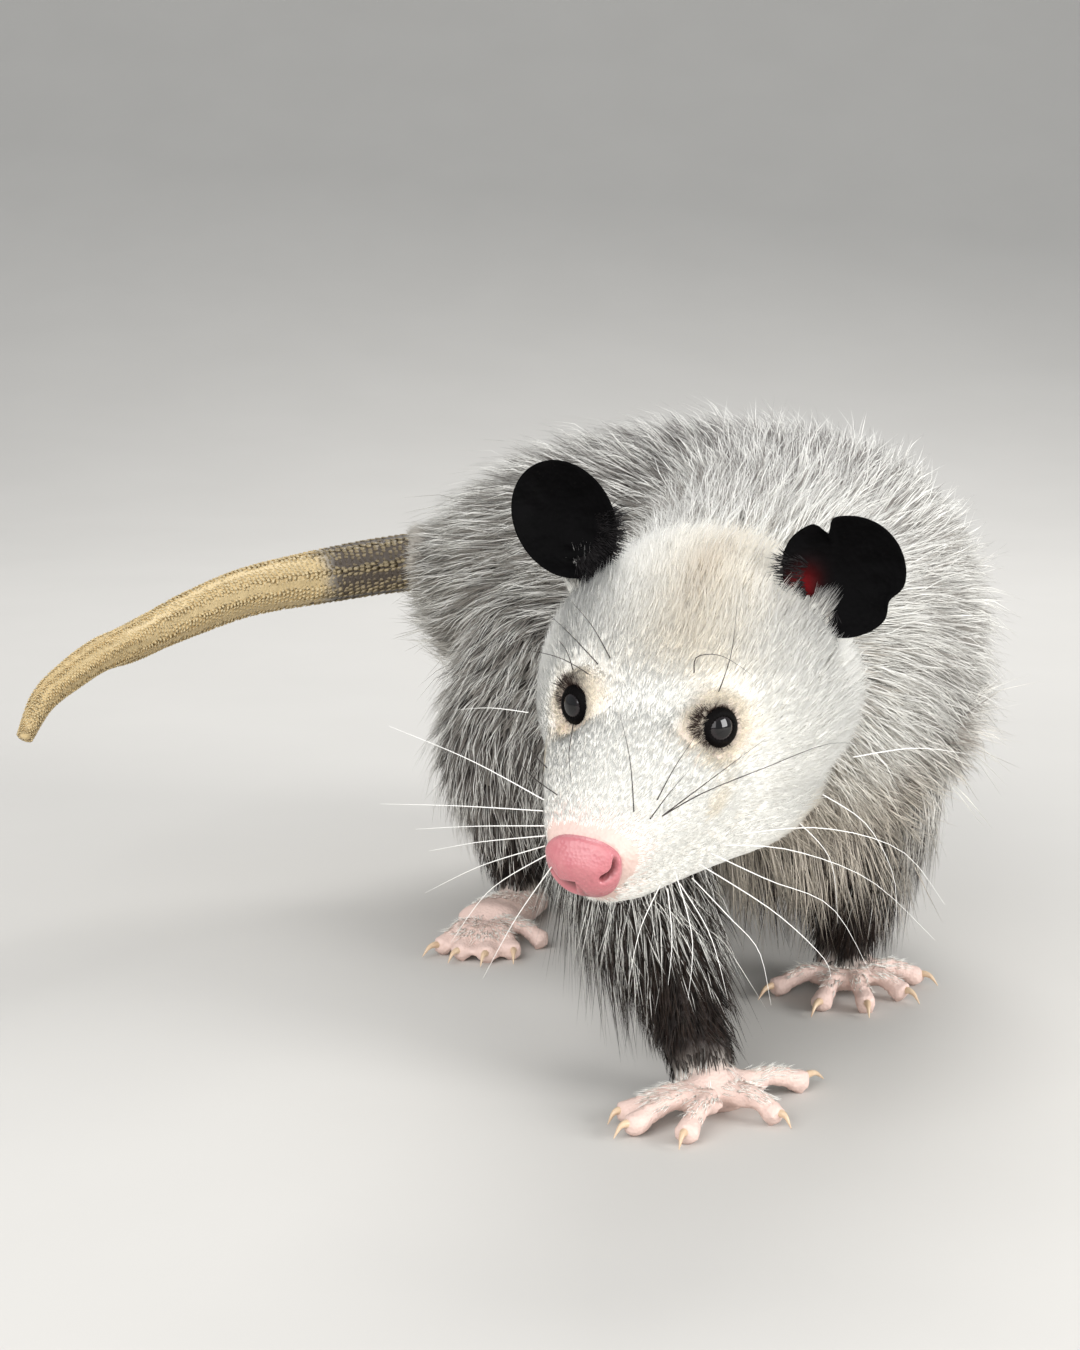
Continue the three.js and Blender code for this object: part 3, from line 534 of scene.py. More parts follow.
def rounded(points, end_rise):
    """End points set past the first and last ring of a tube, so that it ends in a dome."""
    first, second = points[0].mean(0), points[1].mean(0)
    last, before = points[-1].mean(0), points[-2].mean(0)
    return first + unit(first - second) * end_rise, last + unit(last - before) * end_rise


def skin_parts(depth):
    """Every part of the skin: its kind, its closed grid, and the grid's own two parameters."""
    parts = [(HEAD, *skull_grid(-1.6)), (HEAD, *jaw_grid(-1.4)), (TRUNK_PART, *trunk_grid(-depth))]
    for name, (path, radii) in LEGS.items():
        radii = np.array(radii) - [depth, depth, 3, 1.2]
        parts.append((kind_of_leg(name), *tube_grid(path, radii, 40, 36)))
    for name, (sole, radii, toes) in FEET.items():
        parts += foot_parts(sole, radii, toes, kind_of_leg(name))
    parts.append((TAIL, *tube_grid(TAIL_PATH, TAIL_RADII - TAIL_SKIN_DEPTH, 160, 36, across=(0, 0, 1))))
    for ear in EARS.values():
        base, middle = in_head(ear.root), np.array(ear.middle, float)
        edge = middle - unit(ear.tipward) * ear.tall * 0.5
        path = np.stack([base, base + (middle - base) * 0.45, edge]) - unit(ear.hollow) * EAR_CUP
        parts.append((EAR_STEM, *tube_grid(path, [8.5, 6.0, 2.0], 12, 20)))
    return parts


def fused(points, triangles, voxel):
    """The outer surface of overlapping closed skins, found on a fine grid of voxels."""
    mesh = new_mesh("fuse", points, triangles)
    source = placed("fuse", mesh)
    modifier = source.modifiers.new("fuse", "REMESH")
    modifier.mode = "VOXEL"
    modifier.voxel_size = voxel
    depsgraph = bpy.context.evaluated_depsgraph_get()
    result = bpy.data.meshes.new_from_object(source.evaluated_get(depsgraph))
    bpy.data.objects.remove(source)
    bpy.data.meshes.remove(mesh)
    return result


def arrays_of(mesh):
    """The points, triangles and edges of a mesh as arrays."""
    points = np.zeros(len(mesh.vertices) * 3, np.float32)
    mesh.vertices.foreach_get("co", points)
    mesh.calc_loop_triangles()
    triangles = np.zeros(len(mesh.loop_triangles) * 3, np.int32)
    mesh.loop_triangles.foreach_get("vertices", triangles)
    edges = np.zeros(len(mesh.edges) * 2, np.int32)
    mesh.edges.foreach_get("vertices", edges)
    return points.reshape(-1, 3).astype(float), triangles.reshape(-1, 3), edges.reshape(-1, 2)


def neighbour_mean(values, edges):
    """The mean of every point's neighbours, for each column of values."""
    count = len(values)
    ends = np.concatenate([edges[:, 0], edges[:, 1]])
    others = np.concatenate([edges[:, 1], edges[:, 0]])
    total = np.maximum(np.bincount(ends, minlength=count), 1)
    columns = [np.bincount(ends, values[others, k], minlength=count) / total for k in range(values.shape[1])]
    return np.stack(columns, 1)


def relaxed(values, edges, rounds, pull=0.5, push=0.0):
    """Values moved towards their neighbours' mean, and with a push moved back a little to keep the volume."""
    for _ in range(rounds):
        values = values + pull * (neighbour_mean(values, edges) - values)
        if push:
            values = values - push * (neighbour_mean(values, edges) - values)
    return values


def normals_of(points, triangles):
    """Area-weighted normals at every point."""
    a, b, c = [points[triangles[:, k]] for k in range(3)]
    face = np.cross(b - a, c - a)
    total = np.zeros_like(points)
    for k in range(3):
        for axis in range(3):
            total[:, axis] += np.bincount(triangles[:, k], face[:, axis], minlength=len(points))
    return unit(total)


def refined(mesh, chosen):
    """The mesh with every edge split once where both of its ends are chosen."""
    work = bmesh.new()
    work.from_mesh(mesh)
    edges = [e for e in work.edges if chosen[e.verts[0].index] and chosen[e.verts[1].index]]
    bmesh.ops.subdivide_edges(work, edges=edges, cuts=1, use_grid_fill=True)
    bmesh.ops.triangulate(work, faces=[f for f in work.faces if len(f.verts) > 4])
    work.to_mesh(mesh)
    work.free()
    return mesh


def eye_offsets(points, sign):
    """Each point's depth along an eye's axis, and its offset and distance from that axis.

    The last value is the sine of how steeply the offset points up.
    """
    look = eye_look(sign)
    offset = points - eye_centre(sign)
    depth = offset @ look
    flat = offset - depth[:, None] * look
    reach = np.linalg.norm(flat, axis=1)
    return depth, flat, reach, flat @ HEAD_AXES[2] / np.maximum(reach, 1e-6)


def near_face(points):
    """Whether points lie on the muzzle or round an eye, where the skin has the finest mesh."""
    head = to_head(points)
    fine = (head[:, 0] < 30) & (np.abs(head[:, 1]) < 26)
    for sign in (1, -1):
        fine |= np.linalg.norm(points - eye_centre(sign), axis=1) < SOCKET_REACH
    return fine


def sculpted(points, normals):
    """The skin with eye sockets, brows and folds, the line of the mouth and the swell of its lips.

    Round each eye's axis a rim rises over the ball and falls back to the head, with a brow above and a fold
    below. Along the mouth a groove runs between two low swells.
    """
    points = points.copy()
    for sign in (1, -1):
        depth, flat, reach, above = eye_offsets(points, sign)
        near = (depth > -2) & (reach < SOCKET_REACH)
        rim = 4.3 + 0.6 * smoothstep(4.4, 6.0, reach) - 3.9 * (1 - smoothstep(3.6, 4.8, reach))
        share = 1 - smoothstep(6.0, 11.0, reach)
        target = depth + (rim - depth) * share
        brow = 0.9 * np.exp(-((reach - 8.6) / 2.0) ** 2) * np.clip(above, 0, 1)
        fold = -0.5 * np.exp(-((reach - 8.2) / 0.8) ** 2) * np.clip(-above, 0, 1)
        moved = eye_centre(sign) + flat + eye_look(sign) * (target + brow + fold)[:, None]
        points[near] = moved[near]
    head = to_head(points)
    path = along(MOUTH_LINE, np.linspace(0, len(MOUTH_LINE) - 1, 200))
    mirrored = head * [1, 0, 1] + np.abs(head * [0, 1, 0])
    close = np.flatnonzero((mirrored[:, 0] < 50) & (mirrored[:, 2] < -6) & (mirrored[:, 2] > -20))
    gap = np.linalg.norm(mirrored[close][:, None, :] - path[None], axis=2)
    height = mirrored[close][:, 2] - path[gap.argmin(1)][:, 2]
    reach = np.exp(-(gap.min(1) / 4) ** 2)
    groove = -0.9 * np.exp(-(height / 0.7) ** 2)
    lips = 0.3 * np.exp(-((np.abs(height) - 1.8) / 1.0) ** 2)
    points[close] += normals[close] * ((groove + lips) * reach)[:, None]
    return points


class Skin:
    """The finished skin as arrays, with what the coat reads from it at every point."""

    def __init__(self, depth, grain):
        parts = skin_parts(depth)
        shells = []
        for kind, grid, _, _ in parts:
            dome = 0.6 * np.linalg.norm(grid[-1, 0] - grid[-1].mean(0)) * (kind not in (TRUNK_PART, HEAD))
            start, end = rounded(grid, dome)
            shells.append(shell(grid, start, end))
        mesh = fused(*joined(shells), grain)
        points, triangles, edges = arrays_of(mesh)
        points = relaxed(points, edges, 6, push=0.52)
        mesh.vertices.foreach_set("co", points.astype(np.float32).ravel())
        mesh = refined(mesh, near_face(points) | (points[:, 2] < 10))
        points, triangles, edges = arrays_of(mesh)
        points = relaxed(points, edges, 3, push=0.5)
        points = sculpted(points, normals_of(points, triangles))
        self.triangles, self.edges = triangles, edges
        self.guide(parts, points, normals_of(points, triangles))
        points = self.creased(points, normals_of(points, triangles))
        points[:, 2] = np.maximum(points[:, 2], 0.0)
        self.points = points
        self.normals = normals_of(points, triangles)
        self.mark()
        self.measure()
        bpy.data.meshes.remove(mesh)

    def guide(self, parts, points, normals):
        """Each point takes its part, its place on that part and the lie of the coat from the nearest grid point."""
        spots = np.concatenate([grid.reshape(-1, 3) for _, grid, _, _ in parts])
        lies = np.concatenate([unit(np.gradient(grid, axis=0)).reshape(-1, 3) for _, grid, _, _ in parts])
        place = np.concatenate([np.stack([u.ravel(), angle.ravel() / (2 * np.pi)], 1) for _, _, u, angle in parts])
        sizes = [grid.shape[0] * grid.shape[1] for _, grid, _, _ in parts]
        index = np.repeat(np.arange(len(parts)), sizes)
        tree = KDTree(len(spots))
        for k, spot in enumerate(spots):
            tree.insert(spot, k)
        tree.balance()
        nearest = np.array([tree.find(p)[1] for p in points])
        self.part = index[nearest]
        self.kind = np.array([kind for kind, *_ in parts])[self.part]
        self.place = place[nearest]
        lie = lies[nearest]
        lie[:, 2] -= np.where(self.kind == TRUNK_PART, 0.5 * (1 - np.abs(normals[:, 2])), 0.0)
        lie = relaxed(lie, self.edges, EASE_ROUNDS)
        lie -= normals * (lie * normals).sum(1, keepdims=True)
        weak = 1 - smoothstep(0.1, 0.5, np.linalg.norm(lie, axis=1, keepdims=True))
        lie += weak * (np.array([0, 1.0, 0]) - normals * normals[:, 1:2])
        self.lie = unit(lie)
        cells = int(np.ceil(np.sqrt(len(parts))))
        corner = np.stack([self.part % cells, self.part // cells], 1)
        self.unwrap = (corner + 0.03 + 0.94 * self.place[:, ::-1]) / cells

    def creased(self, points, normals):
        """Fine creases across the toes and long soft wrinkles down the tail, as sines of each part's own place."""
        u, turn = self.place.T
        toe = (self.kind == FOOT) * smoothstep(0.05, 0.2, u) * (1 - smoothstep(0.75, 0.9, u))
        toe = toe * -0.22 * np.clip(np.sin(u * 60), 0, 1)
        tail = (self.kind == TAIL) * -0.2 * tail_wrinkles(u, turn * 2 * np.pi) * smoothstep(1.0, 0.8, u)
        return points + normals * (toe + tail)[:, None]

    def eased(self, values):
        """One value at every point, smoothed over the skin."""
        return relaxed(values[:, None], self.edges, EASE_ROUNDS)[:, 0]

    def mark(self):
        """The markings at every point: the shares of dark, tan and grey in the coat and of pink in the skin.

        Each is a product of smooth steps along the head, the height from the floor and the distance from an eye.
        """
        points = self.points
        head = to_head(points)
        back, aside, up = head.T
        y, z = points[:, 1], points[:, 2]
        u = self.place[:, 0]
        kinds = self.kind[:, None] == [HEAD, TRUNK_PART, FORELEG, HINDLEG, FOOT, EAR_STEM]
        on_head, on_trunk, on_fore, on_hind, on_foot, on_ear = relaxed(kinds.astype(float), self.edges, 12).T
        front = smoothstep(20, -60, y)
        low = smoothstep(96, 56, z)
        dark = on_fore * (0.72 + 0.28 * smoothstep(62, 32, z)) * smoothstep(98, 76, z)
        dark = np.maximum(dark, on_hind * (0.25 + 0.75 * smoothstep(46, 22, z)) * smoothstep(90, 60, z))
        dark = np.maximum(dark, on_trunk * low * (0.22 + 0.4 * front))
        dark = np.maximum(dark, on_ear * smoothstep(0.25, 0.5, u))
        tan = on_head * smoothstep(-18, -28, up) * smoothstep(46, 66, back) * 0.5
        tan = np.maximum(tan, on_trunk * smoothstep(110, 80, z) * (0.25 + 0.4 * front))
        crown = smoothstep(48, 62, back) * (up > 0) * np.exp(-((aside - 6) / 16) ** 2)
        tan = np.maximum(tan, on_head * 0.36 * crown)
        pink = np.maximum(on_foot, on_head * smoothstep(20, 9, back))
        for sign in (1, -1):
            depth, flat, reach, above = eye_offsets(points, sign)
            nose_ward = -(flat @ HEAD_AXES[0]) / np.maximum(reach, 1e-6)
            facing = smoothstep(-1, 2, depth)
            jag = 1 + 0.12 * np.sin(19 * np.arctan2(above, nose_ward) + reach * 1.9)
            spread = 5.6 + 2.6 * np.clip(nose_ward * sign, 0, 1) + 1.2 * np.clip(above, 0, 1)
            ring = reach * jag / spread
            dark = np.maximum(dark, facing * smoothstep(1.2, 0.7, ring) * 0.9)
            tan = np.maximum(tan, facing * smoothstep(2.0, 1.1, ring) * 0.5)
            pink = np.maximum(pink, 0.7 * facing * smoothstep(2.1, 1.2, ring) * smoothstep(2, -4, above))
            start, way = np.array([45, sign * 21, 6]), np.array([-12, sign, -7])
            share = np.clip((head - start) @ way / (way @ way), 0, 1)
            gap = np.linalg.norm(head - start - share[:, None] * way, axis=1)
            tan = np.maximum(tan, smoothstep(5.0, 1.5, gap) * (0.35 if sign > 0 else 0.75))
        high = 0.45 + 0.5 * smoothstep(136, 180, z)
        grey = (on_trunk * high + (on_fore + on_hind) * 0.5) * smoothstep(106, 142, back)
        streak = np.exp(-(((back - 84) / 13) ** 2 + ((aside - 3) / 4) ** 2)) * (up > 0)
        grey = np.maximum(grey, on_head * 0.4 * streak)
        dark = dark * (1 - on_foot)
        self.marking = np.clip(np.stack([dark, tan, grey, pink * (1 - dark)], 1), 0, 1)

    def measure(self):
        """The coat at every point: its length, how far it stands off and how much of its root's colour shows, which is
        partly the hair's real dark base and partly painted shade.

        It also says where the skin is bare: on the nose, the eyes, the soles and toe pads, and along the tail.
        """
        kind, u = self.kind, self.place[:, 0]
        back, aside, up = to_head(self.points).T
        z = self.points[:, 2]
        cheek = 1 + 0.35 * smoothstep(22, 38, np.abs(aside)) * smoothstep(10, -12, up)
        face_length = np.interp(back, *FACE_LENGTH) * cheek
        trunk_length = np.interp(back, *TRUNK_LENGTH) - 7 * smoothstep(80, 45, z) - 14 * smoothstep(0.86, 1.0, u)
        leg = np.isin(kind, (FORELEG, HINDLEG))
        choices = [kind == HEAD, kind == TRUNK_PART, leg & (z < WRIST_HEIGHT), leg, kind == TAIL, kind == EAR_STEM]
        lengths = [face_length, trunk_length, ANKLE_LENGTH, np.interp(u, *LEG_LENGTH), np.interp(u, *TAIL_LENGTH),
                   np.interp(u, *STEM_LENGTH)]
        length = self.eased(np.select(choices, lengths, FOOT_LENGTH))
        for sign in (1, -1):
            away = np.linalg.norm(self.points - eye_centre(sign), axis=1)
            eased = SHORTEST_FACE + (length - SHORTEST_FACE) * smoothstep(7.5, 15, away)
            length = np.where(kind == HEAD, eased, length)
        for ear in EARS.values():
            away = np.linalg.norm(self.points - np.array(ear.middle), axis=1)
            length = np.where(kind == HEAD, length * (0.45 + 0.55 * smoothstep(14, 30, away)), length)
        self.length = length
        stands = [np.interp(back, *FACE_STAND), np.interp(back, *TRUNK_STAND), STEM_STAND]
        self.stand = self.eased(np.select([kind == HEAD, kind == TRUNK_PART, kind == EAR_STEM], stands, LEG_STAND))
        # The quarter share of root colour on the head, the nape and the ears' stems is painted shade at the roots that
        # gives the pale fur depth; further back it rises to the hair's real dark base.
        rooted = np.where(np.isin(kind, (HEAD, TRUNK_PART, EAR_STEM)), 0.25 + 0.75 * smoothstep(104, 140, back), 1.0)
        self.rooted = self.eased(np.maximum(rooted, (kind == TRUNK_PART) * smoothstep(104, 84, z)))
        bare = (kind == HEAD) & (back < 9)
        for sign in (1, -1):
            depth, _, reach, _ = eye_offsets(self.points, sign)
            bare |= (reach < 5.4) & (depth > 0)
        bare |= (kind == TAIL) & (u > TAIL_FUR_END)
        bare |= (kind == FOOT) & ((self.normals[:, 2] < 0.2) | (u > 0.72))
        self.bare = bare.astype(float)


@functools.lru_cache(maxsize=1)
def shared_skin(depth, grain):
    """The skin is worked out once and then read by each operator that grows something on it."""
    return Skin(depth, grain)


def skin_of(sizes):
    """The shared skin for the panel's sizes."""
    return shared_skin(sizes.skin_depth * MILLIMETRES, sizes.skin_grain * MILLIMETRES)


def strand_shape(rings):
    """The corners and triangles of one strand: rings of three, the first closed and the last drawn to a point."""
    faces = [[0, 1, 2]]
    for k in range(rings - 1):
        for j in range(3):
            a, b = k * 3 + j, k * 3 + (j + 1) % 3
            faces += [[a, a + 3, b], [b, a + 3, b + 3]]
    last, tip = (rings - 1) * 3, rings * 3
    return np.array(faces + [[last, tip, last + 1], [last + 1, tip, last + 2], [last + 2, tip, last]]), tip + 1


def strand_corners(rings):
    """Where each corner of a strand stands: across it and along it."""
    across = np.append(np.tile([-0.5, 0.0, 0.5], rings), 0.0)
    return np.stack([across, np.append(np.repeat(STOPS[rings][:rings], 3), 1.0)], 1)


def strand_mesh(path, across, out, width, rings):
    """Flat, three-sided strands that taper to a point, as one set of points and triangles.

    Ring k of a strand is its path's point there with two corners across it and one raised outwards.
    """
    half = (width[:, None] * np.array(TAPER[rings])[None])[..., None] / 2
    ring = np.stack([
        path[:, :rings] + across[:, :rings] * half,
        path[:, :rings] + out[:, :rings] * half * STRAND_RIDGE,
        path[:, :rings] - across[:, :rings] * half,
    ], 2)
    points = np.concatenate([ring.reshape(len(path), -1, 3), path[:, -1:]], 1)
    faces, per = strand_shape(rings)
    triangles = (faces[None] + (np.arange(len(path)) * per)[:, None, None]).reshape(-1, 3)
    return points, triangles, per


def fine_hairs(root, way, length, out, turn, reach, rng, sag=0.0):
    """Single fine hairs that leave their roots along their ways, with the tips drawn in by the sag.

    The turn and the reach say where round its piece a hair stands, which is also its place in the unwrap. Returns
    the points, the triangles and what they carry: markings, strand and patch.
    """
    count = len(root)
    path = root[:, None] + way[:, None] * (length[:, None] * STOPS[2])[..., None]
    path[:, 2] -= out * sag
    heading = unit(np.gradient(path, axis=1))
    across = unit(np.cross(out, heading))
    points, faces, per = strand_mesh(path, across, np.cross(heading, across), np.full(count, FINE_HAIR), 2)
    strand = np.ones((count, per, 4))
    strand[..., 1] = rng.random(count)[:, None]
    spot = np.stack([0.5 + 0.4 * reach * np.cos(turn), 0.5 + 0.4 * reach * np.sin(turn)], 1)
    patch = spot[:, None] + strand_corners(2)[None] * PATCH
    carried = {"marking": marks_of(np.zeros(count * per)), "strand": strand.reshape(-1, 4)}
    return points.reshape(-1, 3), faces, carried, patch.reshape(-1, 2)


def tuft_roots(skin, chosen, tufts, rng):
    """Roots spread evenly over the chosen skin: one in each equal share of its area, at a random place there.

    Returns the three corners of each root's triangle and the root's share of each.
    """
    corners = skin.points[skin.triangles]
    area = np.linalg.norm(np.cross(corners[:, 1] - corners[:, 0], corners[:, 2] - corners[:, 0]), axis=1) / 2
    total = np.cumsum(area * chosen[skin.triangles].mean(1) * (skin.bare[skin.triangles].max(1) < 0.5))
    pick = np.searchsorted(total, (np.arange(tufts) + rng.random(tufts)) / tufts * total[-1])
    pick = np.minimum(pick, len(skin.triangles) - 1)
    a, b = rng.random((2, tufts))
    flip = a + b > 1
    a, b = np.where(flip, 1 - a, a), np.where(flip, 1 - b, b)
    return skin.triangles[pick], np.stack([1 - a - b, a, b], 1)[..., None]


def grow(skin, name, chosen, material, slot, *, per_tuft, rings, width, rise, spread, clump, scale=1.0, wander=0.12,
         pale=0.0, hang=0.0, shortest=0.75):
    """Tufts of the coat over the chosen part of the skin, as one piece.

    A tuft's path leaves its root along the lie, or more downwards where it hangs, rises by a share of its length
    and bends back to the body. The tuft's strands start beside its root and close in on its tip. Where pale is
    given, a strand is either dark or pale, and is dark more often the further its marking is past that share. Three
    in four strands then lose most of their grey.
    """
    count, seed = COAT[name]
    rng = np.random.default_rng(seed)
    tufts = count // per_tuft
    corner, share = tuft_roots(skin, chosen, tufts, rng)
    root, normal, lie, marks = [
        (values[corner] * share).sum(1) for values in (skin.points, skin.normals, skin.lie, skin.marking)]
    length, stand, rooted = [
        (values[corner] * share[..., 0]).sum(1) for values in (skin.length, skin.stand, skin.rooted)]
    normal = unit(normal)
    lie = unit(lie - normal * (lie * normal).sum(1, keepdims=True))
    length = length * scale * rng.uniform(shortest, 1.2, tufts)
    swing = rng.normal(0, wander, tufts) + 0.12 * np.sin(root @ [0.11, 0.07, 0.09])
    lie = unit(lie + np.cross(normal, lie) * swing[:, None] + np.array([0, 0, -hang]))
    lie = unit(lie + normal * np.clip(0.04 - (lie * normal).sum(1, keepdims=True), 0, None))
    side = unit(np.cross(normal, lie) + 1e-4)
    owner = np.repeat(np.arange(tufts), per_tuft)
    strands = len(owner)
    steps = np.array(STOPS[rings])
    strand_length = length[owner] * rng.uniform(0.78, 1.12, strands)
    high = (rise * stand * rng.uniform(0.55, 1.4, tufts))[owner] * rng.uniform(0.85, 1.15, strands)
    forward = strand_length[:, None] * (steps * (1 - 0.25 * high[:, None] * steps))
    upward = strand_length[:, None] * high[:, None] * (1.7 * steps - 0.9 * steps ** 2)
    gap = np.minimum(spread, 0.25 * length[owner] + 0.2)
    turn, away = rng.random(strands) * 2 * np.pi, np.sqrt(rng.random(strands)) * gap
    shift = (side[owner] * np.cos(turn)[:, None] + lie[owner] * np.sin(turn)[:, None]) * away[:, None]
    bend = rng.normal(0, 0.07, strands) * strand_length
    path = (
        (root - normal * np.minimum(0.4, 0.02 * length)[:, None])[owner][:, None]
        + lie[owner][:, None] * forward[..., None]
        + normal[owner][:, None] * upward[..., None]
        + shift[:, None] * (1 - clump * steps)[None, :, None]
        + side[owner][:, None] * (bend[:, None] * steps ** 2)[..., None]
    )
    path[..., 2] = np.maximum(path[..., 2], STRAND_FLOOR)
    heading = unit(np.gradient(path, axis=1))
    out = normal[owner][:, None] + rng.normal(0, 0.35, (strands, 1, 1)) * side[owner][:, None]
    across = unit(np.cross(out, heading))
    out = np.cross(heading, across)
    thick = width * rng.uniform(0.7, 1.3, strands) * np.minimum(1, strand_length / 6 + 0.35)
    points, faces, per = strand_mesh(path, across, out, thick, rings)
    strand_marks = marks[owner].copy()
    if pale:
        odds = np.clip(strand_marks[:, 0] - pale, 0, 1) / max(1 - pale, 0.1)
        strand_marks[:, 0] = (rng.random(strands) < odds).astype(float)
        strand_marks[:, 2] = np.where(rng.random(strands) < 0.25, strand_marks[:, 2], 0.25 * strand_marks[:, 2])
    corners = strand_corners(rings)
    strand = np.ones((strands, per, 4))
    strand[..., 0] = corners[:, 1]
    strand[..., 1] = rng.random(strands)[:, None]
    strand[..., 2] = rooted[owner][:, None]
    marking = np.repeat(strand_marks[:, None], per, 1)
    patch = skin.unwrap[corner[:, 0]][owner][:, None] + (corners - [0, 0.5])[None] * PATCH
    return new_piece(
        name, points.reshape(-1, 3), faces, material, slot,
        {"marking": marking.reshape(-1, 4), "strand": strand.reshape(-1, 4)}, patch.reshape(-1, 2))


def add(tree, kind, links=None, values=None, **settings):
    """Adds one node: settings are its own properties, values fill its inputs and links bring outputs into them."""
    item = tree.nodes.new(kind)
    for key, value in settings.items():
        setattr(item, key, value)
    for key, value in (values or {}).items():
        item.inputs[key].default_value = value
    for key, (source, output) in (links or {}).items():
        tree.links.new(source.outputs[output], item.inputs[key])
    return item


def new_material(name, **values):
    """A material with one principled shader and the values of its sockets."""
    material = bpy.data.materials.new(name)
    material.use_nodes = True
    shader = material.node_tree.nodes["Principled BSDF"]
    for key, value in values.items():
        shader.inputs[key.replace("_", " ")].default_value = value
    return material, material.node_tree, shader


def mixed(tree, share, low, high, blend="MIX"):
    """A colour mix: the share and each colour is a value, or a node with its output."""
    item = add(tree, "ShaderNodeMix", data_type="RGBA", blend_type=blend)
    for key, value in ((0, share), (6, low), (7, high)):
        if isinstance(value, tuple):
            tree.links.new(value[0].outputs[value[1]], item.inputs[key])
        else:
            item.inputs[key].default_value = value
    return item, 2


def attribute(tree, name):
    """A point attribute's own node and the node that parts it into its channels."""
    source = add(tree, "ShaderNodeAttribute", attribute_name=name)
    return source, add(tree, "ShaderNodeSeparateColor", {"Color": (source, "Color")})


def painted(tree, shader, colour):
    """Brings a mixed colour into the shader."""
    node, output = colour
    tree.links.new(node.outputs[output], shader.inputs["Base Color"])


def pitted(tree, shader, place, grain, strength, depth):
    """Raises round cells of a real grain in millimetres, to a depth in metres."""
    cells = add(tree, "ShaderNodeTexVoronoi", {"Vector": (place, "Object")}, {"Scale": MILLIMETRES / grain})
    bump = add(tree, "ShaderNodeBump", {"Height": (cells, "Distance")}, {"Strength": strength, "Distance": depth})
    tree.links.new(bump.outputs["Normal"], shader.inputs["Normal"])


def hair_material(name, colours, root_share, root_end, roughness, darkest, sheen=0.0):
    """Keratin hair, grown: dull at the root and with a faint silky shine towards the tip.

    The markings mix the white, tan, grey and dark hair. The root's colour starts with its share and fades out along
    a strand until the root's end: on the body it is the hair's real dark base, and on the pale face and nape it is
    partly painted shade at the roots. A strand's own number makes it a little lighter or darker.
    """
    material, tree, shader = new_material(
        name, Roughness=roughness, Specular_IOR_Level=0.35, Sheen_Weight=sheen, Sheen_Roughness=0.4)
    _, marks = attribute(tree, "marking")
    _, strand = attribute(tree, "strand")
    white, tan, grey, dark, root = [list(c) for c in colours]
    colour = mixed(tree, (marks, "Green"), white, tan)
    colour = mixed(tree, (marks, "Blue"), colour, grey)
    colour = mixed(tree, (marks, "Red"), colour, dark)
    fall = add(tree, "ShaderNodeMapRange", {"Value": (strand, "Red")},
               {"From Min": 0.0, "From Max": root_end, "To Min": root_share, "To Max": 0.0})
    depth = add(tree, "ShaderNodeMath", {0: (fall, "Result"), 1: (strand, "Blue")}, operation="MULTIPLY")
    colour = mixed(tree, (depth, "Value"), colour, root)
    tone = add(tree, "ShaderNodeMapRange", {"Value": (strand, "Green")}, {"To Min": darkest, "To Max": 1.06})
    painted(tree, shader, mixed(tree, 1.0, colour, (tone, "Result"), "MULTIPLY"))
    return material


def skin_material(colours):
    """Living skin, grown: soft and half dull, with fine pores.

    It is pale under white fur, grey and dark under dark fur and pink on the muzzle and feet. The tail's skin has the
    colours of its scales, and a soft mottling runs over all of it.
    """
    material, tree, shader = new_material("living_skin", Roughness=0.5, Specular_IOR_Level=0.4)
    marks, parts = attribute(tree, "marking")
    _, tail = attribute(tree, "tail")
    place = add(tree, "ShaderNodeTexCoord")
    mottle = add(tree, "ShaderNodeTexNoise", {"Vector": (place, "Object")},
                 {"Scale": MILLIMETRES / SKIN_MOTTLE, "Detail": 4.0})
    colour = mixed(tree, (parts, "Blue"), linear("#dfdad0"), linear("#6f675f"))
    colour = mixed(tree, (parts, "Green"), colour, linear("#cdb297"))
    colour = mixed(tree, (parts, "Red"), colour, linear("#2a1d18"))
    colour = mixed(tree, (marks, "Alpha"), colour, list(colours.toe_skin))
    colour = mixed(tree, (tail, "Red"), colour, list(colours.pale_tail))
    colour = mixed(tree, (tail, "Green"), colour, list(colours.dark_tail))
    shade = add(tree, "ShaderNodeMapRange", {"Value": (mottle, "Fac")}, {"To Min": 0.84, "To Max": 1.12})
    painted(tree, shader, mixed(tree, 1.0, colour, (shade, "Result"), "MULTIPLY"))
    pitted(tree, shader, place, SKIN_PORE, 0.35, 0.0005)
    return material


def mottled_material(name, low, high, grain, roughness, bump, mark=None, **sockets):
    """A mottled surface: noise with a real grain in millimetres mixes two colours, and cells of a third of that grain
    raise a fine relief.

    Where a mark is given, the first channel of the piece's markings brings in that colour.
    """
    material, tree, shader = new_material(name, Roughness=roughness, **sockets)
    place = add(tree, "ShaderNodeTexCoord")
    noise = add(tree, "ShaderNodeTexNoise", {"Vector": (place, "Object")},
                {"Scale": MILLIMETRES / grain, "Detail": 6.0})
    colour = mixed(tree, (noise, "Fac"), list(low), list(high))
    if mark is not None:
        _, marks = attribute(tree, "marking")
        colour = mixed(tree, (marks, "Red"), colour, list(mark))
    painted(tree, shader, colour)
    pitted(tree, shader, place, grain / 3, bump, 0.0004)
    return material


def marks_of(share):
    """A marking with one share in its first channel."""
    share = np.asarray(share, float)
    return np.stack([share, np.zeros_like(share), np.zeros_like(share), np.ones_like(share)], 1)


def ring_shell(grid):
    """A closed ring over a grid that wraps both ways."""
    rows, sides = grid.shape[:2]
    i, j = np.meshgrid(np.arange(rows), np.arange(sides), indexing="ij")
    a, b = (i * sides + j).ravel(), (i * sides + (j + 1) % sides).ravel()
    c, d = ((i + 1) % rows * sides + (j + 1) % sides).ravel(), ((i + 1) % rows * sides + j).ravel()
    triangles = np.concatenate([np.stack([a, b, c], 1), np.stack([a, c, d], 1)])
    points = grid.reshape(-1, 3)
    return points, outward(points, triangles)


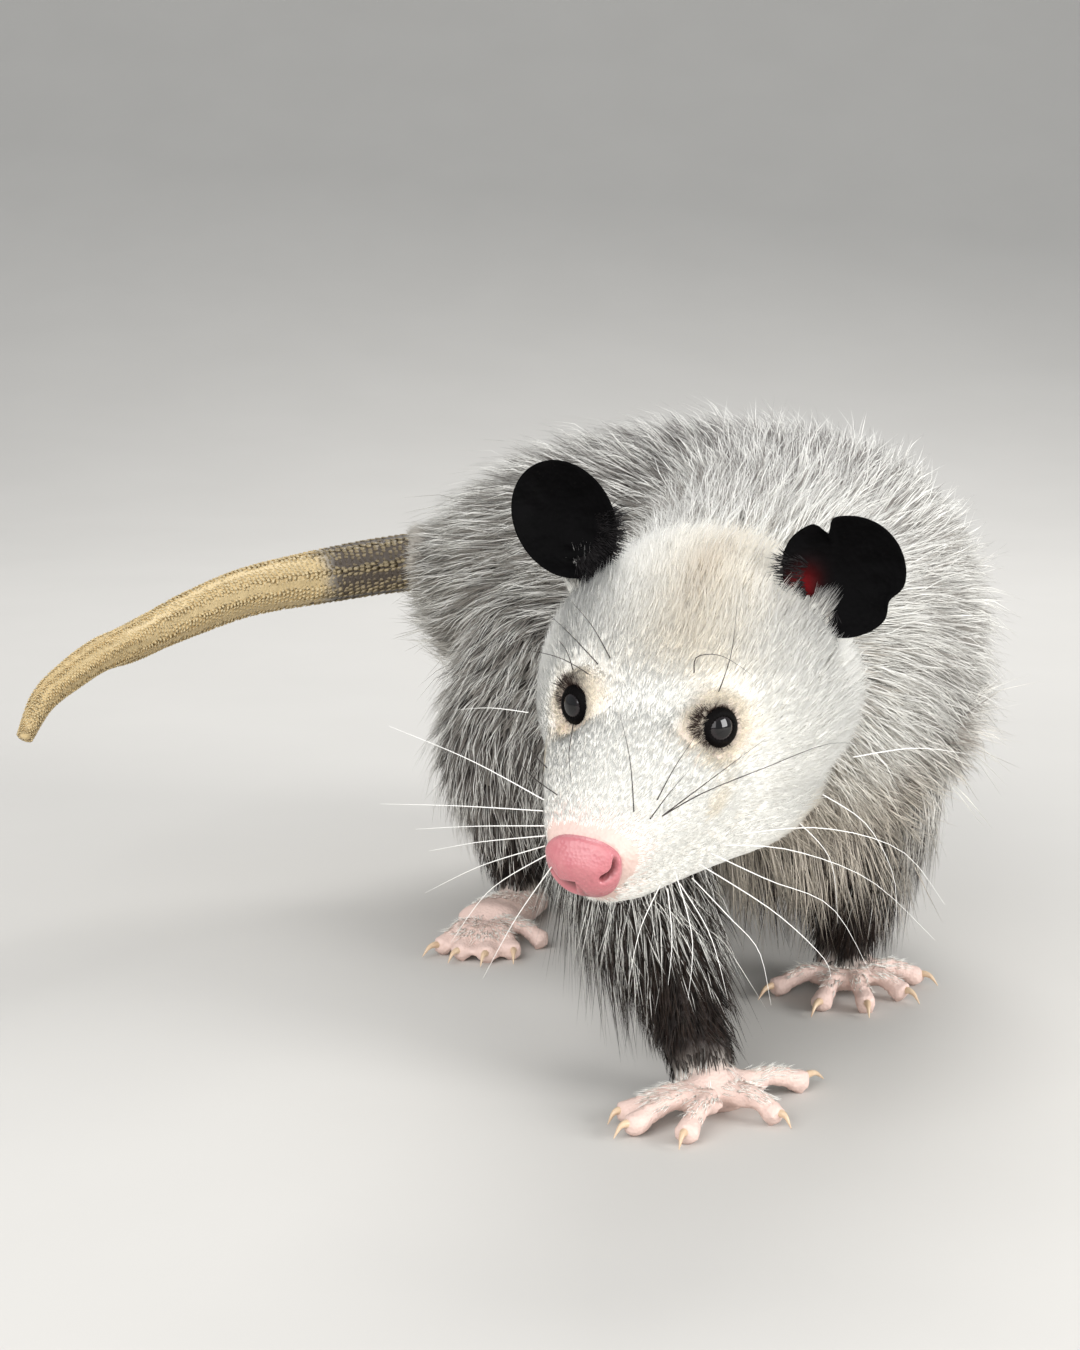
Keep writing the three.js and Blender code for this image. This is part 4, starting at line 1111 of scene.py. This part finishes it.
def eye_ball(sign):
    """An eye: a sphere whose front bulges a little towards the cornea, with the share of iris at each point."""
    centre, look, side, up = eye_axes(sign)
    v, angle = ring_grid(0.03, np.pi - 0.03, 48, 64)
    radius = EYE_RADIUS * (1 + 0.05 * smoothstep(0.55, 0.95, np.cos(v)))
    grid = look * (np.cos(v) * radius)[..., None] + (
        side * np.cos(angle)[..., None] + up * np.sin(angle)[..., None]) * (np.sin(v) * radius)[..., None]
    points, faces = shell(grid + centre, centre + look * EYE_RADIUS * 1.05, centre - look * EYE_RADIUS)
    facing = unit(points - centre) @ look
    return points, faces, smoothstep(0.72, 0.8, facing) * (1 - smoothstep(0.9, 0.94, facing))


def eye_lids(sign):
    """The lids: a ring on the ball round an almond opening, thicker above, with small lumps along it."""
    centre, look, side, up = eye_axes(sign)
    turn, girth = np.meshgrid(np.arange(96) / 96 * 2 * np.pi, np.arange(18) / 18 * 2 * np.pi, indexing="ij")
    direction = unit(look + side * (LID_WIDE * np.cos(turn))[..., None] + up * (LID_TALL * np.sin(turn))[..., None])
    tangent = unit(np.roll(direction, -1, 0) - np.roll(direction, 1, 0))
    away = np.cross(direction, tangent)
    broad = 1.5 + 0.4 * np.clip(np.sin(turn), 0, 1) + 0.1 * np.sin(turn * 23)
    ring = direction * (EYE_RADIUS + 0.15) + (
        direction * (0.8 * np.cos(girth))[..., None] + away * (broad * np.sin(girth))[..., None])
    return ring_shell(ring + centre)


def lashes(sign, count, rng):
    """Short dark hairs that leave the lids and fan out, longest round one way: up and to the animal's right."""
    centre, look, side, up = eye_axes(sign)
    longest = 145
    degrees = rng.normal(longest, 62, count)
    turn = np.radians(degrees)
    spoke = side * (LID_WIDE * np.cos(turn))[:, None] + up * (LID_TALL * np.sin(turn))[:, None]
    root = centre + unit(look + spoke * rng.uniform(1.0, 1.45, count)[:, None]) * (EYE_RADIUS + 0.3)
    way = unit(unit(spoke) + look * rng.uniform(0.0, 0.35, count)[:, None] + rng.normal(0, 0.22, (count, 3)))
    length = 1.8 + 3.6 * np.exp(-((degrees - longest) / 48) ** 2) * rng.uniform(0.3, 1.2, count)
    return fine_hairs(root, way, length, look, turn, 1.0, rng)


def build_eyes(sizes, colours):
    """The two eyeballs, lids and lashes.

    The wet cornea gives small sharp highlights over a nearly black eye. The lids' dark skin is dull and nearly
    without shine, and the lashes are fine dark hair.
    """
    brown = linear("#2e1b12")
    lash = hair_material("dark_lash", (brown, brown, brown, brown, linear("#080505")),
                         root_share=1.0, root_end=0.6, roughness=0.6, darkest=0.6)
    rng = np.random.default_rng(LASH_SEED)
    eye = mottled_material("wet_cornea", colours.eye, linear("#0a0808"), grain=2.0, roughness=0.03, bump=0.0,
                           mark=linear("#1c1517"), Specular_IOR_Level=0.5)
    lid = mottled_material("dark_lid_skin", linear("#030202"), linear("#080505"), grain=1.5, roughness=0.55,
                           bump=0.3, Specular_IOR_Level=0.06)
    for side_name, sign in SIDES:
        points, faces, iris = eye_ball(sign)
        ball = new_piece("eyeball_" + side_name, points, faces, eye, "eye", {"marking": marks_of(iris)})
        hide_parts("eye_" + side_name)
        points, faces = eye_lids(sign)
        new_piece("eyelids_" + side_name, points, faces, lid, "eye")
        points, faces, carried, patch = lashes(sign, LASHES, rng)
        new_piece("lashes_" + side_name, points, faces, lash, "dark_fur", carried, patch)


def build_nose(sizes, colours):
    """The nose pad: superellipses with two comma-shaped nostrils pressed in and a groove down its middle.

    Its hairless skin is moist and finely pitted, so it has a soft broad shine, and painted shade darkens the nostrils
    inside and the groove down its middle.
    """
    v, angle = ring_grid(0, len(NOSE) - 1, 60, 120)
    values = along(NOSE, v)
    across, up = section(angle, values[..., 1], values[..., 2], values[..., 3])
    bulge = (1 - np.hypot(across / 9, (up + 3) / 8) ** 2) * (1 - smoothstep(0.5, 2.0, v))
    grid = np.stack([values[..., 0] - np.clip(bulge, 0, 1), across, up], -1)
    points, faces = shell(grid, np.array([-1.9, 0, -3.0]))
    lines = np.stack([along(path, np.linspace(0, 3, 60)) for path in NOSTRILS])
    gap = np.linalg.norm(points[:, None, None] - lines[None], axis=3).min(2)
    hollow = np.exp(-(gap / [1.1, 1.5]) ** 3).max(1)
    groove = np.exp(-((points[:, 1] - 1.6) / 0.6) ** 2) * smoothstep(-5, -7, points[:, 2]) * (points[:, 0] < 3)
    inward = unit(np.array([5.0, 0, -3.0]) - points)
    points = points + inward * (3.0 * hollow + 0.6 * groove)[:, None]
    # The marking's colour is painted shade for the nostrils' hollows and the middle groove.
    pad = mottled_material("moist_nose_skin", colours.nose, linear("#c98486"), grain=2.6, roughness=0.35, bump=0.4,
                           mark=linear("#54201f"), Specular_IOR_Level=0.5, Coat_Weight=0.2)
    # Painted shade: full in the nostrils' hollows, and about a third of it along the middle groove.
    mark = marks_of(np.clip(hollow * 1.1 - 0.1 + 0.35 * groove, 0, 1))
    piece = new_piece("nose", in_head(points), faces, pad, "nose_skin", {"marking": mark})
    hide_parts("nose_pad")


def ear_axes(ear):
    """An ear's middle and its ways across, to the tip and out of the hollow."""
    tip, out = unit(ear.tipward), np.array(ear.hollow, float)
    out = unit(out - tip * out.dot(tip))
    return np.array(ear.middle, float), np.cross(tip, out), tip, out


def ear_surface(ear, reach, angle, face):
    """A point of an ear: a disc that hollows towards its middle, with a notched rim and soft wrinkles.

    The face is 1 on the hollow side and -1 behind. The two meet where the reach is 1. Returns the points and how far
    they lie across and up from the middle.
    """
    centre, across, tip, out = ear_axes(ear)
    rim = np.ones_like(reach)
    degrees = np.degrees(angle)
    for at, spread, size in ear.notches:
        away = (degrees - at + 180) % 360 - 180
        rim -= size * np.exp(-(away / spread) ** 2) * smoothstep(0.3, 1.0, reach)
    wrinkle = 0.22 * np.sin(angle * 9 + 3 * reach) * smoothstep(0.25, 0.6, reach) * (1 - smoothstep(0.85, 1, reach))
    fold = 0.9 * np.exp(-((degrees - 250) / 25) ** 2) * np.sin(reach * 14)
    fold = fold * smoothstep(0.3, 0.6, reach) * (1 - smoothstep(0.7, 0.9, reach))
    thick = EAR_THICKNESS / 2 * np.sqrt(np.clip(1 - reach ** 8, 0, 1))
    deep = EAR_CUP * (reach ** 2 - 0.6) + wrinkle + fold + face * thick
    x, y = reach * rim * ear.wide * np.cos(angle), reach * rim * ear.tall * np.sin(angle)
    return centre + across * x[..., None] + tip * y[..., None] + out * deep[..., None], x, y


def ear_fringe(ear, count, rng):
    """Short hairs that leave an ear's hollow face near its lower rim and point outwards."""
    _, across, tip, out = ear_axes(ear)
    angle = np.radians(rng.uniform(*ear.fringe, count))
    reach = rng.uniform(0.6, 0.97, count)
    root, _, _ = ear_surface(ear, reach, angle, 1)
    spoke = across * np.cos(angle)[:, None] + tip * np.sin(angle)[:, None]
    way = unit(spoke + out * rng.uniform(0.0, 0.5, count)[:, None] + rng.normal(0, 0.25, (count, 3)))
    return fine_hairs(root, way, rng.uniform(2.5, 6.0, count), out, angle, reach, rng, sag=0.8)


def build_ears(sizes, colours):
    """Thin ears whose two faces meet at the rim, and a fringe of dark hair where each leaves the fur.

    Their bare skin is like fine dull leather and nearly black, with a red patch low in the left ear's hollow.
    """
    leather = mottled_material("thin_ear_leather", colours.ear, linear("#080708"), grain=5.0, roughness=0.65,
                               bump=0.5, mark=linear("#5a0a0e"), Specular_IOR_Level=0.04)
    dark = linear("#141011")
    fringe = hair_material("dark_ear_hair", (dark, dark, dark, dark, linear("#0c0a0b")),
                           root_share=0.5, root_end=0.5, roughness=0.55, darkest=0.7)
    rng = np.random.default_rng(EAR_SEED)
    for name, ear in EARS.items():
        reach, angle = ring_grid(0.02, 1, 44, 120)
        front, x, y = ear_surface(ear, reach, angle, 1)
        behind, _, _ = ear_surface(ear, reach, angle, -1)
        points, faces = shell(np.concatenate([front, behind[::-1][1:]]))
        red = np.exp(-(((x + 7.6) / 3.6) ** 2 + ((y + 9.4) / 4.6) ** 2)) * (name == "ear_left")
        share = np.concatenate([red.ravel(), np.zeros(behind[1:, :, 0].size + 2)])
        piece = new_piece(name + "_leaf", points, faces, leather, "ear_skin", {"marking": marks_of(share)})
        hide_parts(name)
        points, faces, carried, patch = ear_fringe(ear, EAR_HAIRS, rng)
        new_piece(name + "_fringe", points, faces, fringe, "ear_skin", carried, patch)


def build_claws(sizes, colours):
    """Claws: circles that shrink along a bent path from the toe's pad to the tip.

    Their horn is grown in layers: smooth, pale and a little streaked, with a soft shine.
    """
    horn = mottled_material("claw_horn", colours.claw, linear("#e3cdae"), grain=3.0, roughness=0.35, bump=0.15)
    radii = sizes.claw_radius * MILLIMETRES * np.array([1.1, 1.0, 0.65, 0.12])
    shells = []
    for _, _, toes in FEET.values():
        for pad, claw in toes:
            if claw is None:
                continue
            end = np.append(toe_end(pad, claw), PAD_RADIUS - FLAT_DEPTH + 0.8)
            tip = np.array([claw[0], claw[1], 1.0])
            path = end + np.array([0, 0.3, 0.65, 1])[:, None] * (tip - end)
            path[1, 2], path[2, 2] = 4.2, 3.6
            grid = tube_grid(path, radii, 20, 12, across=(0.02, 0.01, 1))[0]
            shells.append(shell(grid, *rounded(grid, 0.3)))
    points, faces = joined(shells)
    new_piece("claws", points, faces, horn, "toe_skin")


def tail_wrinkles(u, turn):
    """Long soft folds down the tail: two sines round it whose phase drifts along it."""
    return np.sin(turn * 7 + 2.2 * np.sin(u * 11)) + 0.6 * np.sin(turn * 12 - u * 19)


def on_tail(position, turn, lift):
    """Points round the tail: its path plus its radius and wrinkles, raised by the lift."""
    centre, side, front = path_axes(TAIL_PATH, position, (0, 0, 1))
    share = position / TAIL_LAST
    wrinkle = -0.4 * tail_wrinkles(share, turn) * smoothstep(1.0, 0.8, share)
    radius = (along(TAIL_RADII, position) - TAIL_SKIN_DEPTH + wrinkle + lift)[..., None]
    return centre + radius * (side * np.cos(turn)[..., None] + front * np.sin(turn)[..., None])


def build_tail_scales(sizes, colours):
    """Small overlapping scales in rings round the tail, each a closed wedge whose free edge lifts off the skin.

    They are thin dry horn with a low shine: dark and speckled near the root, pale further out, with painted shade that
    darkens them in the folds.
    """
    horny = mottled_material("tail_scale", colours.pale_tail, linear("#e6d3a8"), grain=9.0, roughness=0.5, bump=0.2,
                             mark=colours.dark_tail, Specular_IOR_Level=0.3)
    step, width = sizes.scale_length * MILLIMETRES, sizes.scale_width * MILLIMETRES
    length = np.linalg.norm(np.diff(along(TAIL_PATH, np.linspace(0, TAIL_LAST, 300)), axis=0), axis=1).sum()
    rings = int(length / step)
    rng = np.random.default_rng(SCALE_SEED)
    places = (np.arange(rings) + 0.5) / rings * TAIL_LAST
    counts = (2 * np.pi * along(TAIL_RADII, places) / width).astype(int)
    owner = np.repeat(np.arange(rings), counts)
    number = np.arange(counts.sum()) - np.repeat(np.cumsum(counts) - counts, counts)
    position = places[owner] + rng.normal(0, 0.006, len(owner))
    angle = (number + 0.5 * (owner % 2)) / counts[owner] * 2 * np.pi + rng.normal(0, 0.03, len(owner))
    keep = position / TAIL_LAST > TAIL_FUR_END - 0.03
    position, angle = np.clip(position[keep], 0, TAIL_LAST - 0.02), angle[keep]
    step_share = step / length * TAIL_LAST
    half = width / 2 / along(TAIL_RADII, position)
    corners = ((0.0, -0.9, -0.35), (0.0, 0.9, -0.35), (1.15, 0.85, 0.24), (1.4, 0.0, 0.3), (1.15, -0.85, 0.24),
               (1.1, 0.0, -0.35))
    points = np.stack([
        on_tail(np.minimum(position + a * step_share, TAIL_LAST), angle + w * half, h) for a, w, h in corners], 1)
    faces = np.array([[0, 1, 2], [0, 2, 3], [0, 3, 4], [2, 1, 5], [3, 2, 5], [4, 3, 5], [0, 4, 5], [1, 0, 5]])
    triangles = (faces[None] + (np.arange(len(angle)) * len(corners))[:, None, None]).reshape(-1, 3)
    triangles = outward(points.reshape(-1, 3), triangles)
    u = position / TAIL_LAST
    ragged = u + 0.012 * np.sin(angle * 3) + rng.normal(0, 0.006, len(angle))
    # The groove is 1 in the valleys of the folds: the scales are darkened there as painted shade, and the dark part is
    # lighter on the ridges.
    groove = smoothstep(-0.3, 1.3, tail_wrinkles(u, angle))
    share = (1 - smoothstep(TAIL_DARK_END, TAIL_DARK_END + 0.035, ragged)) * (0.62 + 0.38 * groove)
    # A scale's tone is a random tone of its own plus painted shade in the folds.
    tone = rng.uniform(0.0, 0.08, len(angle)) + 0.26 * groove
    speck = (rng.random(len(angle)) < 0.25) * 0.1
    mark = marks_of(np.repeat(np.clip(np.maximum(share - speck, tone), 0, 1), len(corners)))
    patch = np.stack([u, angle / (2 * np.pi)], 1)[:, None] * 0.94 + 0.03
    patch = patch + np.array([[0, -0.5], [0, 0.5], [0.8, 0.5], [1, 0], [0.8, -0.5], [0.7, 0]])[None] * PATCH
    new_piece("tail_scales", points.reshape(-1, 3), triangles, horny, "pale_tail",
              {"marking": mark}, patch.reshape(-1, 2))


def hair_tubes(lines, radius, rows=14, sides=5):
    """Long single hairs: small circles that shrink along a smooth path and end in a point."""
    shells = []
    for line in lines:
        path = in_head(np.array(line, float))
        grid = tube_grid(path, np.array([1.0, 0.8, 0.5, 0.15]) * radius, rows, sides, across=(0.3, 0.2, 0.9))[0]
        shells.append(shell(grid, *rounded(grid, 0.1)))
    return joined(shells)


def build_whiskers(sizes, colours):
    """Dark whiskers over the brow and muzzle, and long white ones that fan out from the lips and cheeks.

    Whiskers are stiff smooth keratin with a soft shine along them.
    """
    dark = mottled_material("dark_whisker", linear("#1d1715"), linear("#3a2f2a"), grain=4.0, roughness=0.4, bump=0.0)
    white = mottled_material("white_whisker", linear("#f4f1ea"), linear("#fdfcf8"), grain=4.0, roughness=0.35,
                             bump=0.0)
    radius = sizes.whisker_radius * MILLIMETRES
    new_piece("dark_whiskers", *hair_tubes(DARK_WHISKERS, radius), dark, "dark_fur")
    new_piece("white_whiskers", *hair_tubes(WHITE_WHISKERS, radius), white, "white_fur")


def build_skin(sizes, colours):
    """The skin's own piece, with its markings and the tail's colours."""
    skin = skin_of(sizes)
    u = skin.place[:, 0]
    tail = (skin.kind == TAIL).astype(float)
    pale = smoothstep(TAIL_DARK_END, TAIL_DARK_END + 0.03, u)
    shares = np.stack([tail * pale, tail * (1 - pale), np.zeros_like(u), np.ones_like(u)], 1)
    piece = new_piece("skin", skin.points, skin.triangles, skin_material(colours), "white_fur",
                      {"marking": skin.marking, "tail": shares}, skin.unwrap)
    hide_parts(*FLESH)


def build_face_fur(sizes, colours):
    """The short coat of the head, the feet and the eyes' rims: fine single hairs that lie close to the skin."""
    skin = skin_of(sizes)
    kind = skin.kind
    back, aside, _ = to_head(skin.points).T
    # The last shade is the roots' colour, which on the white face is painted shade that gives the fur depth.
    shades = (colours.white_hair, linear("#ecd3a2"), linear("#b59c7c"), linear("#2a1b15"), linear("#efe4d6"))
    hair = hair_material("fine_face_hair", shades, root_share=0.6, root_end=0.6, roughness=0.5, darkest=0.95,
                         sheen=0.1)
    short = {"per_tuft": 3, "rings": 1, "width": sizes.face_hair * MILLIMETRES, "rise": 0.42, "spread": 0.8,
             "clump": 0.3, "wander": 0.16}
    face = (kind == HEAD) * (1 - smoothstep(98, 118, back)) + (kind == EAR_STEM)
    grow(skin, "face_fur_left", face * (aside > 0), hair, "white_fur", **short)
    grow(skin, "face_fur_right", face * (aside <= 0), hair, "white_fur", **short)
    grow(skin, "toe_hair", (kind == FOOT).astype(float), hair, "white_fur", **{**short, "width": 0.3})
    for side_name, sign in SIDES:
        depth, _, reach, _ = eye_offsets(skin.points, sign)
        ring = ((reach < 8.2) & (np.abs(depth) < 8)).astype(float)
        grow(skin, "eye_fringe_" + side_name, ring, hair, "white_fur",
             **{**short, "width": 0.24, "rise": 1.4, "scale": 0.9, "wander": 0.5})


def build_body_fur(sizes, colours):
    """The long coat: woolly underfur, straight awn hair and long guard hair with pale tips."""
    skin = skin_of(sizes)
    kind, u = skin.kind, skin.place[:, 0]
    back = to_head(skin.points)[:, 0]
    y, z = skin.points[:, 1], skin.points[:, 2]
    shades = (linear("#ece5da"), linear("#a58c70"), colours.grey_hair, linear("#1d1613"), linear("#39312d"))
    under = hair_material("soft_underfur", shades, root_share=0.9, root_end=0.8, roughness=0.7, darkest=0.75)
    shades = (colours.white_hair, linear("#d3c3ab"), linear("#a5a09c"), colours.dark_hair, linear("#746c67"))
    guard = hair_material("keratin_guard_hair", shades, root_share=0.9, root_end=0.5, roughness=0.42, darkest=0.8)
    wool = {"per_tuft": 5, "rings": 1, "width": sizes.underfur * MILLIMETRES, "scale": 0.6, "rise": 0.5,
            "spread": 2.4, "clump": 0.45}
    awn = {"per_tuft": 2, "rings": 1, "width": sizes.guard_hair * MILLIMETRES, "scale": 0.85, "rise": 0.34,
           "spread": 1.6, "clump": 0.1, "wander": 0.13, "pale": 0.55}
    long = {**awn, "per_tuft": 3, "rings": 2, "scale": 1.0, "rise": 0.4, "spread": 1.8, "clump": 0.25}
    nape = (kind == HEAD) * smoothstep(84, 110, back) + ((kind == TRUNK_PART) & (u < 0.17))
    grow(skin, "nape_underfur", nape, under, "grey_fur", **wool)
    grow(skin, "nape_guard_hair", nape, guard, "white_fur", **long)
    body = (kind == TRUNK_PART) & (u >= 0.15)
    for part, mask in (("front", y < TORSO_SPLIT), ("rear", y >= TORSO_SPLIT)):
        mask = (body & mask).astype(float)
        grow(skin, f"torso_{part}_underfur", mask, under, "grey_fur", **wool)
        grow(skin, f"torso_{part}_awn_hair", mask, guard, "grey_fur", **awn)
        grow(skin, f"torso_{part}_guard_hair", mask, guard, "white_fur", **long)
    legs = np.isin(kind, (FORELEG, HINDLEG)).astype(float)
    grow(skin, "leg_underfur", legs, under, "dark_fur", **wool)
    grow(skin, "leg_guard_hair", legs, guard, "dark_fur", **{**long, "pale": 0.35})
    chest = body * (u < 0.55) * smoothstep(84, 56, z)
    chest = chest + (kind == FORELEG) * smoothstep(30, 52, z) * smoothstep(92, 76, z)
    grow(skin, "chest_guard_hair", chest, guard, "grey_fur",
         **{**long, "scale": sizes.chest_hair_share, "hang": 1.2, "pale": 0.42, "rise": 0.12, "shortest": 0.4})
    tail = ((kind == TAIL) & (u <= TAIL_FUR_END)).astype(float)
    grow(skin, "tail_root_fur", tail, under, "grey_fur", **{**wool, "scale": 0.9, "width": 0.5})


def new_lamp(name, place, size, power):
    """A square soft lamp that faces the animal's chest."""
    data = bpy.data.lights.new(name, "AREA")
    data.size = size
    data.energy = power
    lamp = placed(name, data)
    lamp.location = place
    lamp.rotation_euler = (Vector((0, 0, 0.1)) - Vector(place)).to_track_quat("-Z", "Y").to_euler()


def build_stage(sizes, colours):
    """A pale floor that sweeps up behind in a quarter circle, soft lamps and the camera.

    The floor is matt paper, so it takes only soft shadows and no shine.
    """
    turn = np.linspace(0, np.pi / 2, 60)
    flat = np.linspace(FLOOR_FRONT, FLOOR_BEND, 20)[:-1]
    y = np.concatenate([flat, FLOOR_BEND + FLOOR_SWEEP * np.sin(turn)])
    z = np.concatenate([np.zeros_like(flat), FLOOR_SWEEP * (1 - np.cos(turn))])
    across = np.linspace(-FLOOR_HALF_WIDTH, FLOOR_HALF_WIDTH, 40)
    grid = np.stack(np.broadcast_arrays(across[None, :], y[:, None], z[:, None]), -1)
    i, j = np.meshgrid(np.arange(len(y) - 1), np.arange(len(across) - 1), indexing="ij")
    a = (i * len(across) + j).ravel()
    mesh = new_mesh("floor", grid.reshape(-1, 3), np.stack([a, a + 1, a + len(across) + 1, a + len(across)], 1))
    mesh.shade_smooth()
    mesh.materials.append(mottled_material(
        "matt_paper", colours.floor, linear("#ccc9c4"), grain=120.0, roughness=0.9, bump=0.02))
    placed("floor", mesh)
    world = bpy.data.worlds.new("soft_sky")
    bpy.context.scene.world = world
    world.use_nodes = True
    background = world.node_tree.nodes["Background"]
    background.inputs["Color"].default_value = linear("#eef2f6")
    background.inputs["Strength"].default_value = SKY_STRENGTH
    for lamp in LAMPS:
        new_lamp(*lamp)
    camera_data = bpy.data.cameras.new("camera")
    camera_data.sensor_fit = "AUTO"
    camera_data.sensor_width = CAMERA_SENSOR
    camera_data.lens = CAMERA_LENS
    camera_data.clip_start = 0.01
    camera = placed("camera", camera_data)
    camera.location = (np.array(CAMERA_FOOT) + SHIFT) / MILLIMETRES
    camera.rotation_euler = (math.radians(CAMERA_TILT), 0, 0)
    bpy.context.scene.camera = camera
    bpy.context.scene.view_settings.view_transform = "Standard"


def length_property(name, description, default):
    """A length in metres."""
    return bpy.props.FloatProperty(name=name, description=description, default=default, min=0.0, unit="LENGTH")


def colour_property(name, description, hex_colour):
    """A colour, from its sRGB hex value."""
    return bpy.props.FloatVectorProperty(
        name=name, description=description, default=linear(hex_colour), min=0.0, max=1.0, size=4, subtype="COLOR")


class OpossumSizes(bpy.types.PropertyGroup):
    """The sizes of the skin, the hairs and the fine details."""

    skin_depth: length_property("Skin depth", "How far the skin lies inside the solid core", 0.004)
    skin_grain: length_property("Skin grain", "Size of the voxels that join the parts of the skin", 0.0019)
    face_hair: length_property("Face hair", "Width of a hair of the face", 0.0004)
    underfur: length_property("Underfur", "Width of a lock of underfur", 0.0009)
    guard_hair: length_property("Guard hair", "Width of a guard hair", 0.00036)
    chest_hair_share: bpy.props.FloatProperty(
        name="Chest hair", description="Length of the chest's hair over that of the flank", default=1.7, min=0.0,
        subtype="FACTOR")
    scale_length: length_property("Scale length", "Distance between rings of tail scales", 0.0015)
    scale_width: length_property("Scale width", "Width of a tail scale", 0.0017)
    whisker_radius: length_property("Whisker radius", "Radius of a whisker at its root", 0.00018)
    claw_radius: length_property("Claw radius", "Radius of a claw where it leaves the toe", 0.0011)


class OpossumColours(bpy.types.PropertyGroup):
    """The main colours of the coat, the skin and the floor."""

    white_hair: colour_property("White hair", "Face and the tips of the guard hair", "#fcfaf3")
    grey_hair: colour_property("Grey hair", "Underfur of the back", "#5a5250")
    dark_hair: colour_property("Dark hair", "Legs and chest", "#2a1d15")
    nose: colour_property("Nose", "Moist skin of the nose pad", "#b5606a")
    eye: colour_property("Eye", "The eyeball", "#040305")
    ear: colour_property("Ear", "Leathery skin of the ears", "#020202")
    toe_skin: colour_property("Toe skin", "Skin of the feet and round the nose", "#e2c6bb")
    claw: colour_property("Claw", "Horn of the claws", "#c4a080")
    pale_tail: colour_property("Pale tail", "Scaly skin of the tail's outer length", "#d3bb8c")
    dark_tail: colour_property("Dark tail", "Scaly skin near the tail's root", "#544b43")
    floor: colour_property("Floor", "Paper under the animal", "#c6c3be")


def built(context, build):
    """Runs one of the builders, which all take the panel's sizes and its colours."""
    build(context.scene.opossum_sizes, context.scene.opossum_colours)
    return {"FINISHED"}


class OPOSSUM_OT_add_skin(bpy.types.Operator):
    """Add the skin as one closed surface over the whole animal"""

    bl_idname = "opossum.add_skin"
    bl_label = "Skin"

    def execute(self, context):
        return built(context, build_skin)


class OPOSSUM_OT_add_face_fur(bpy.types.Operator):
    """Add the short hair of the head, the feet and the rims of the eyes"""

    bl_idname = "opossum.add_face_fur"
    bl_label = "Face fur"

    def execute(self, context):
        return built(context, build_face_fur)


class OPOSSUM_OT_add_body_fur(bpy.types.Operator):
    """Add the underfur and the long guard hair of the neck, trunk, legs and tail root"""

    bl_idname = "opossum.add_body_fur"
    bl_label = "Body fur"

    def execute(self, context):
        return built(context, build_body_fur)


class OPOSSUM_OT_add_eyes(bpy.types.Operator):
    """Add the eyeballs, the lids round them and the lashes"""

    bl_idname = "opossum.add_eyes"
    bl_label = "Eyes"

    def execute(self, context):
        return built(context, build_eyes)


class OPOSSUM_OT_add_nose(bpy.types.Operator):
    """Add the nose pad with its nostrils"""

    bl_idname = "opossum.add_nose"
    bl_label = "Nose"

    def execute(self, context):
        return built(context, build_nose)


class OPOSSUM_OT_add_ears(bpy.types.Operator):
    """Add the ears and the fringe of hair in each"""

    bl_idname = "opossum.add_ears"
    bl_label = "Ears"

    def execute(self, context):
        return built(context, build_ears)


class OPOSSUM_OT_add_claws(bpy.types.Operator):
    """Add the claws of all four feet"""

    bl_idname = "opossum.add_claws"
    bl_label = "Claws"

    def execute(self, context):
        return built(context, build_claws)


class OPOSSUM_OT_add_tail_scales(bpy.types.Operator):
    """Add the rings of scales round the tail"""

    bl_idname = "opossum.add_tail_scales"
    bl_label = "Tail scales"

    def execute(self, context):
        return built(context, build_tail_scales)


class OPOSSUM_OT_add_whiskers(bpy.types.Operator):
    """Add the dark and the white whiskers"""

    bl_idname = "opossum.add_whiskers"
    bl_label = "Whiskers"

    def execute(self, context):
        return built(context, build_whiskers)


class OPOSSUM_OT_add_stage(bpy.types.Operator):
    """Add the floor, the lamps and the camera"""

    bl_idname = "opossum.add_stage"
    bl_label = "Stage"

    def execute(self, context):
        return built(context, build_stage)


STEPS = (
    OPOSSUM_OT_add_skin, OPOSSUM_OT_add_face_fur, OPOSSUM_OT_add_body_fur, OPOSSUM_OT_add_eyes, OPOSSUM_OT_add_nose,
    OPOSSUM_OT_add_ears, OPOSSUM_OT_add_claws, OPOSSUM_OT_add_tail_scales, OPOSSUM_OT_add_whiskers,
    OPOSSUM_OT_add_stage,
)


class OPOSSUM_PT_build(bpy.types.Panel):
    """Sizes, colours and the steps that build the opossum"""

    bl_idname = "OPOSSUM_PT_build"
    bl_label = "Opossum"
    bl_space_type = "VIEW_3D"
    bl_region_type = "UI"
    bl_category = "Opossum"

    def draw(self, context):
        for group in (context.scene.opossum_sizes, context.scene.opossum_colours):
            box = self.layout.box()
            for name in group.__annotations__:
                box.prop(group, name)
        for step in STEPS:
            self.layout.operator(step.bl_idname)


CLASSES = (OpossumSizes, OpossumColours, *STEPS, OPOSSUM_PT_build)


def register():
    for item in CLASSES:
        bpy.utils.register_class(item)
    bpy.types.Scene.opossum_sizes = bpy.props.PointerProperty(type=OpossumSizes)
    bpy.types.Scene.opossum_colours = bpy.props.PointerProperty(type=OpossumColours)


def unregister():
    del bpy.types.Scene.opossum_colours
    del bpy.types.Scene.opossum_sizes
    for item in reversed(CLASSES):
        bpy.utils.unregister_class(item)


def main():
    """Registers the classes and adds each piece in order."""
    register()
    bpy.ops.opossum.add_skin()
    bpy.ops.opossum.add_face_fur()
    bpy.ops.opossum.add_body_fur()
    bpy.ops.opossum.add_eyes()
    bpy.ops.opossum.add_nose()
    bpy.ops.opossum.add_ears()
    bpy.ops.opossum.add_claws()
    bpy.ops.opossum.add_tail_scales()
    bpy.ops.opossum.add_whiskers()
    bpy.ops.opossum.add_stage()


if __name__ == "__main__":
    main()
